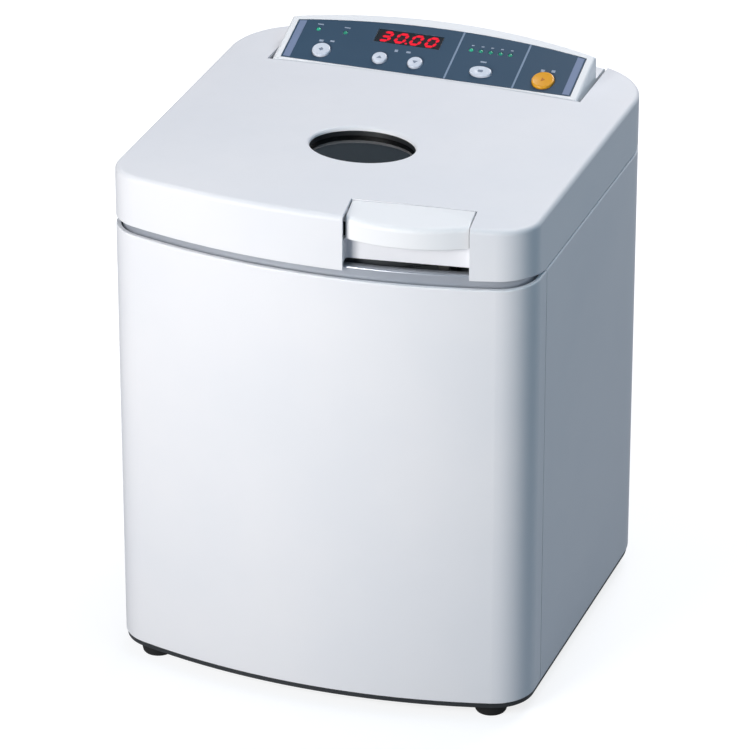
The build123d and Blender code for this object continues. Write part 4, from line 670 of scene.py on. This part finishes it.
def upright_band(left, right, inset):
    """Band from the overlay's lower edge to its upper one, kept inside both by an inset."""
    steps = 4
    xs = [left + (right - left) * i / steps for i in range(steps + 1)]
    top = [(x, overlay_top(x) - inset) for x in xs]
    return [(left, OVERLAY_LOW + inset), (right, OVERLAY_LOW + inset)] + top[::-1]


stripes = []
for side in (-1, 1):
    edges = sorted((side * (OVERLAY_HALF_WIDTH - STRIPE_INSET), side * (OVERLAY_HALF_WIDTH - STRIPE_WIDTH)))
    stripes.append(upright_band(edges[0], edges[1], STRIPE_INSET))
printed("end_stripes", stripes, CONSOLE, "stripe ink")
lines = [upright_band(x - LINE_WIDTH / 2, x + LINE_WIDTH / 2, 0.0) for x in LINES_AT]
printed("dividing_lines", lines, CONSOLE, "line ink")

# Small plain marks by the buttons and over the lamps: (x, up, half width, half height).
MARKS = [
    (-0.0836, 0.0246, 0.0016, 0.0010), (-0.0757, 0.0254, 0.0016, 0.0008),
    (-0.0276, 0.0247, 0.0012, 0.0012), (-0.0186, 0.0248, 0.0016, 0.0009),
    (0.0367, 0.0254, 0.0022, 0.0007), (0.0804, 0.0250, 0.0014, 0.0012), (0.0879, 0.0257, 0.0014, 0.0012),
]
MARKS += [(x, LAMP_UP + 0.0050, 0.0022, 0.0005) for x in LAMP_PAIR]
MARKS += [(x, LAMP_UP + 0.0045, 0.0010, 0.0005) for x in LAMP_ROW]
mark_outlines = [[(x - w, y - h), (x + w, y - h), (x + w, y + h), (x - w, y + h)] for x, y, w, h in MARKS]
printed("print_marks", mark_outlines, CONSOLE, "mark ink")

# ------------------------------------------------------------ lamps
LENS_PROFILE = [
    (0, -0.0100), (LAMP_RADIUS, -0.0100), (LAMP_RADIUS, -0.0001), (LAMP_RADIUS * 0.9, 0.0),
    (LAMP_RADIUS * 0.7, 0.00035), (LAMP_RADIUS * 0.4, 0.0005), (0, 0.00056),
]
lit_places = [(LAMP_PAIR[0], LAMP_UP), (LAMP_ROW[0], LAMP_UP)]
dim_places = [(LAMP_PAIR[1], LAMP_UP)] + [(x, LAMP_UP) for x in LAMP_ROW[1:]]
for name, finish, spots in (("lit_lamps", "lit lens", lit_places), ("dim_lamps", "dim lens", dim_places)):
    places = [CONSOLE @ Matrix.Translation((x, y, 0)) for x, y in spots]
    mesh = turned_mesh(name, LENS_PROFILE, places, 20)
    lamps = new_piece(name, mesh, finish, "case", smooth=True)
    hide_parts("status_lamps")

# ------------------------------------------------------------ feet
FOOT_DISH_RADIUS = 0.0030
FOOT_DISH_DEPTH = 0.0012
FOOT_TREAD_RADIUS = FOOT_RADIUS - 0.0032
FOOT_PROFILE = [
    (0, FOOT_DISH_DEPTH), (FOOT_DISH_RADIUS, FOOT_DISH_DEPTH), (FOOT_DISH_RADIUS + 0.0004, 0.0),
    (FOOT_TREAD_RADIUS, 0.0), (FOOT_TREAD_RADIUS + 0.0010, 0.0003), (FOOT_TREAD_RADIUS + 0.0016, 0.0012),
    (FOOT_RADIUS - 0.0002, FOOT_HEIGHT - 0.0016), (FOOT_RADIUS, FOOT_HEIGHT - 0.0012),
    (FOOT_RADIUS, FOOT_HEIGHT), (0, FOOT_HEIGHT),
]
feet = new_piece(
    "moulded_feet",
    turned_mesh("moulded_feet", FOOT_PROFILE, [Matrix.Translation((x, y, 0)) for x, y in FEET], 40),
    "foot rubber", "case",
)
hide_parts("rubber_feet")

# ------------------------------------------------------------ switch marks
ROCKER_WAIST = 0.0028
ROCKER_HALF = 0.0037
ROCKER_LEAN = math.atan2(0.0012, 0.0074)
MARK_LENGTH = 0.0030
MARK_STROKE = 0.0006
RING_OUT = 0.0017


def rocker_face(half):
    """Placing matrix in the middle of the rocker's upper (1) or lower (-1) face, with Z out of it."""
    lean = Matrix.Rotation(-half * ROCKER_LEAN, 4, "X")
    middle = Vector((0, ROCKER_WAIST + ROCKER_HALF * math.tan(ROCKER_LEAN), half * ROCKER_HALF))
    out = Matrix.Rotation(math.pi, 4, "Z") @ Matrix.Rotation(math.pi / 2, 4, "X")
    return Matrix.Translation(SWITCH_PIVOT) @ Matrix.Rotation(ROCKER_TILT, 4, "X") @ (
        Matrix.Translation(middle) @ lean @ out
    )


bar = [(x * MARK_STROKE / 2, y * MARK_LENGTH / 2) for x, y in ((-1, -1), (1, -1), (1, 1), (-1, 1))]
printed("switch_on_mark", [bar], rocker_face(1), "white print", "switch_rocker")
RING_IN = RING_OUT - MARK_STROKE
ring_profile = [(RING_IN, 0), (RING_OUT, 0), (RING_OUT, PRINT_HEIGHT), (RING_IN, PRINT_HEIGHT)]
ring_mesh = turned_mesh("switch_off_mark", ring_profile, [rocker_face(-1)], 28, ring=True)
new_piece("switch_off_mark", ring_mesh, "white print", "switch_rocker")

# ------------------------------------------------------------ marks on the buttons
MARK_SINK = 0.0003
ARROW = [(-0.0020, -0.0011), (0.0020, -0.0011), (0.0, 0.0015)]
BAR = [(-0.0030, -0.0012), (0.0030, -0.0012), (0.0030, 0.0012), (-0.0030, 0.0012)]
DIAMOND = [(0, -0.0018), (0.0018, 0), (0, 0.0018), (-0.0018, 0)]
BUTTON_MARKS = {
    "mode_button": (-0.0802, DIAMOND),
    "up_button": (-0.0367, ARROW),
    "down_button": (-0.0104, [(x, -y) for x, y in ARROW[::-1]]),
    "select_button": (0.0380, BAR),
    "start_button": (0.0837, [(y, -x) for x, y in ARROW]),
}
for button, (x, outline) in BUTTON_MARKS.items():
    face = CONSOLE @ Matrix.Translation((x, BUTTON_UP, BUTTON_FACE))
    finish, slot = "button print", "button_white"
    if button == "start_button":
        finish, slot = "orange print", "button_orange"
    printed(button.replace("_button", "_print"), [outline], face, finish, button, -MARK_SINK, 0)

# ------------------------------------------------------------ screws with crossed recesses
RECESS_DEPTH = 0.0012
CUTTER_ABOVE = 0.0005
RECESS_TAPER = (0.8, 1.1)
SMALL_SCREW = (0.0035, 0.0020)
LARGE_SCREW = (0.0060, 0.0040)
PANEL_SHANK = 0.0070
LINER_SHANK = 0.0105
POST_GRIP = 0.010


def cut(piece, cutter_mesh):
    """Take a closed mesh away from a piece and keep the result as the piece's own mesh."""
    cutter = bpy.data.objects.new("cutter", cutter_mesh)
    bpy.context.scene.collection.objects.link(cutter)
    boolean = piece.modifiers.new("cut", "BOOLEAN")
    boolean.operation = "DIFFERENCE"
    boolean.solver = "EXACT"
    boolean.object = cutter
    bpy.context.view_layer.update()
    result = bpy.data.meshes.new_from_object(piece.evaluated_get(bpy.context.evaluated_depsgraph_get()))
    piece.modifiers.clear()
    piece.data = result
    bpy.data.objects.remove(cutter)


def screws(name, places, size, shank, body):
    """Pan-head screws with a crossed recess, one at each place; size is the head's radius and height."""
    radius, height = size
    profile = [
        (0, -shank), (radius * 0.5, -shank), (radius * 0.5, 0), (radius * 0.97, 0), (radius, height * 0.12),
        (radius, height * 0.45), (radius * 0.93, height * 0.72), (radius * 0.75, height * 0.9),
        (radius * 0.5, height), (0, height),
    ]
    mesh = turned_mesh(name, profile, places, 28)
    piece = new_piece(name, mesh, "zinc plate", body, smooth=True)
    arm, half = radius * 0.52, radius * 0.13
    cross = [
        (-half, -arm), (half, -arm), (half, -half), (arm, -half), (arm, half), (half, half),
        (half, arm), (-half, arm), (-half, half), (-arm, half), (-arm, -half), (-half, -half),
    ]
    low, high = height - RECESS_DEPTH, height + CUTTER_ABOVE
    cut(piece, prism_mesh(name + "_recess", [cross], low, high, places, *RECESS_TAPER))
    for polygon in piece.data.polygons:
        polygon.use_smooth = False
    return piece


out_of_panel = Matrix.Rotation(math.radians(-90), 4, "X")
under_liner = Matrix.Rotation(math.pi, 4, "X")
panel_places = [Matrix.Translation((x, PANEL_FACE_Y, z)) @ out_of_panel for x, z in PANEL_SCREWS]
plate_places = [Matrix.Translation((x, y, PLATE_TOP)) for x, y in PLATE_SCREWS]
plate_shank = PLATE_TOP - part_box("support_posts")[1].z + POST_GRIP
liner_places = [Matrix.Translation((x, y, LINER_LOW)) @ under_liner for x, y in LINER_SCREWS]
for piece in (
    screws("panel_screws", panel_places, SMALL_SCREW, PANEL_SHANK, "case"),
    screws("plate_screws", plate_places, LARGE_SCREW, plate_shank, "case"),
):
    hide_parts("case_screws")
screws("liner_screws", liner_places, SMALL_SCREW, LINER_SHANK, "lid")

# ------------------------------------------------------------ floor, light and camera
FLOOR_REACH = 9
FLOOR_GLOSSY = 0.15
FLOOR_NEAR_GLOW = 0.80
FLOOR_WHITE_FROM = (0.15, 0.75)
WORLD_GLOSSY = 0.36
AMBIENT = 0.182
AMBIENT_COLOUR = (0.66, 0.82, 1.0, 1)
WHITE_LIGHT = (1, 1, 1, 1)
LIT_MIDDLE = Vector((0.0, 0.0, 0.19))
SOFT_BOXES = [  # name, place, side, watts, colour
    ("key box", (-0.39, -1.22, 0.68), 0.5, 14.3, (1.0, 0.97, 0.94)),
    ("side box", (1.15, -0.30, 1.60), 1.0, 3.4, (0.30, 0.75, 1.0)),
    ("top box", (0.40, 1.60, 2.1), 1.4, 43.5, (1.0, 0.93, 0.91)),
]


def backdrop_rays(tree, glossy_share):
    """Which rays see the plain backdrop: 1 for camera and glass rays, and a share of it for glossy ones."""
    rays = tree.nodes.new("ShaderNodeLightPath").outputs
    seen = math_node(tree, "ADD", rays["Is Camera Ray"], rays["Is Transmission Ray"], clamp=True)
    return seen, math_node(tree, "MULTIPLY", rays["Is Glossy Ray"], glossy_share)


floor_mesh = bpy.data.meshes.new("floor")
floor_corners = [(x * FLOOR_REACH, y * FLOOR_REACH, 0) for x, y in ((-1, -1), (1, -1), (1, 1), (-1, 1))]
floor_mesh.from_pydata(floor_corners, [], [(0, 1, 2, 3)])
floor = bpy.data.objects.new("floor", floor_mesh)
bpy.context.scene.collection.objects.link(floor)
floor_tree, floor_shader = new_material("floor sheet")
floor_mesh.materials.append(finishes["floor sheet"])
floor_shader.inputs["Base Color"].default_value = (0.26, 0.28, 0.31, 1)
floor_shader.inputs["Roughness"].default_value = 0.9
floor_shader.inputs["Specular IOR Level"].default_value = 0.1
floor_shader.inputs["Emission Color"].default_value = WHITE_LIGHT
seen, mirrored = backdrop_rays(floor_tree, FLOOR_GLOSSY)
seen = math_node(floor_tree, "ADD", seen, mirrored, clamp=True)
away = floor_tree.nodes.new("ShaderNodeVectorMath")
away.operation = "LENGTH"
link(floor_tree, object_place(floor_tree), away.inputs[0])
whiter = between(floor_tree, away.outputs["Value"], *FLOOR_WHITE_FROM)
whiter = math_node(floor_tree, "MULTIPLY", whiter, 1.0 - FLOOR_NEAR_GLOW)
glow = math_node(floor_tree, "ADD", whiter, FLOOR_NEAR_GLOW)
link(floor_tree, math_node(floor_tree, "MULTIPLY", seen, glow), floor_shader.inputs["Emission Strength"])

world = bpy.data.worlds.new("studio")
bpy.context.scene.world = world
world.use_nodes = True
sky = world.node_tree
background = sky.nodes["Background"]
seen, mirrored = backdrop_rays(sky, WORLD_GLOSSY)
level = math_node(sky, "ADD", math_node(sky, "MULTIPLY", seen, 1.0 - AMBIENT), AMBIENT)
link(sky, math_node(sky, "MAXIMUM", level, mirrored), background.inputs["Strength"])
link(sky, mix_colour(sky, seen, AMBIENT_COLOUR, WHITE_LIGHT), background.inputs["Color"])

for name, place, side, watts, colour in SOFT_BOXES:
    light = bpy.data.lights.new(name, "AREA")
    light.shape = "SQUARE"
    light.size = side
    light.energy = watts
    light.color = colour
    lamp = bpy.data.objects.new(name, light)
    bpy.context.scene.collection.objects.link(lamp)
    lamp.location = place
    lamp.rotation_mode = "QUATERNION"
    lamp.rotation_quaternion = (LIT_MIDDLE - Vector(place)).to_track_quat("-Z", "Y")
    lamp.visible_camera = False

CAMERA_YAW = math.radians(19.68)
CAMERA_PITCH = math.radians(26.44)
CAMERA_DISTANCE = 3.5
CAMERA_AIM = Vector((-0.0067, 0.0, 0.1755))
SENSOR_MM = 36.0
LENS_MM = 239.55
CLIP_END = 50.0
camera_data = bpy.data.cameras.new("camera")
camera = bpy.data.objects.new("camera", camera_data)
bpy.context.scene.collection.objects.link(camera)
# From the mixer back to the camera
back = Vector((
    math.sin(CAMERA_YAW) * math.cos(CAMERA_PITCH),
    -math.cos(CAMERA_YAW) * math.cos(CAMERA_PITCH),
    math.sin(CAMERA_PITCH),
))
camera.location = CAMERA_AIM + back * CAMERA_DISTANCE
camera.rotation_mode = "QUATERNION"
camera.rotation_quaternion = (-back).to_track_quat("-Z", "Y")
camera_data.sensor_width = SENSOR_MM
camera_data.lens = LENS_MM
camera_data.clip_end = CLIP_END
bpy.context.scene.camera = camera
bpy.context.scene.view_settings.view_transform = "Standard"
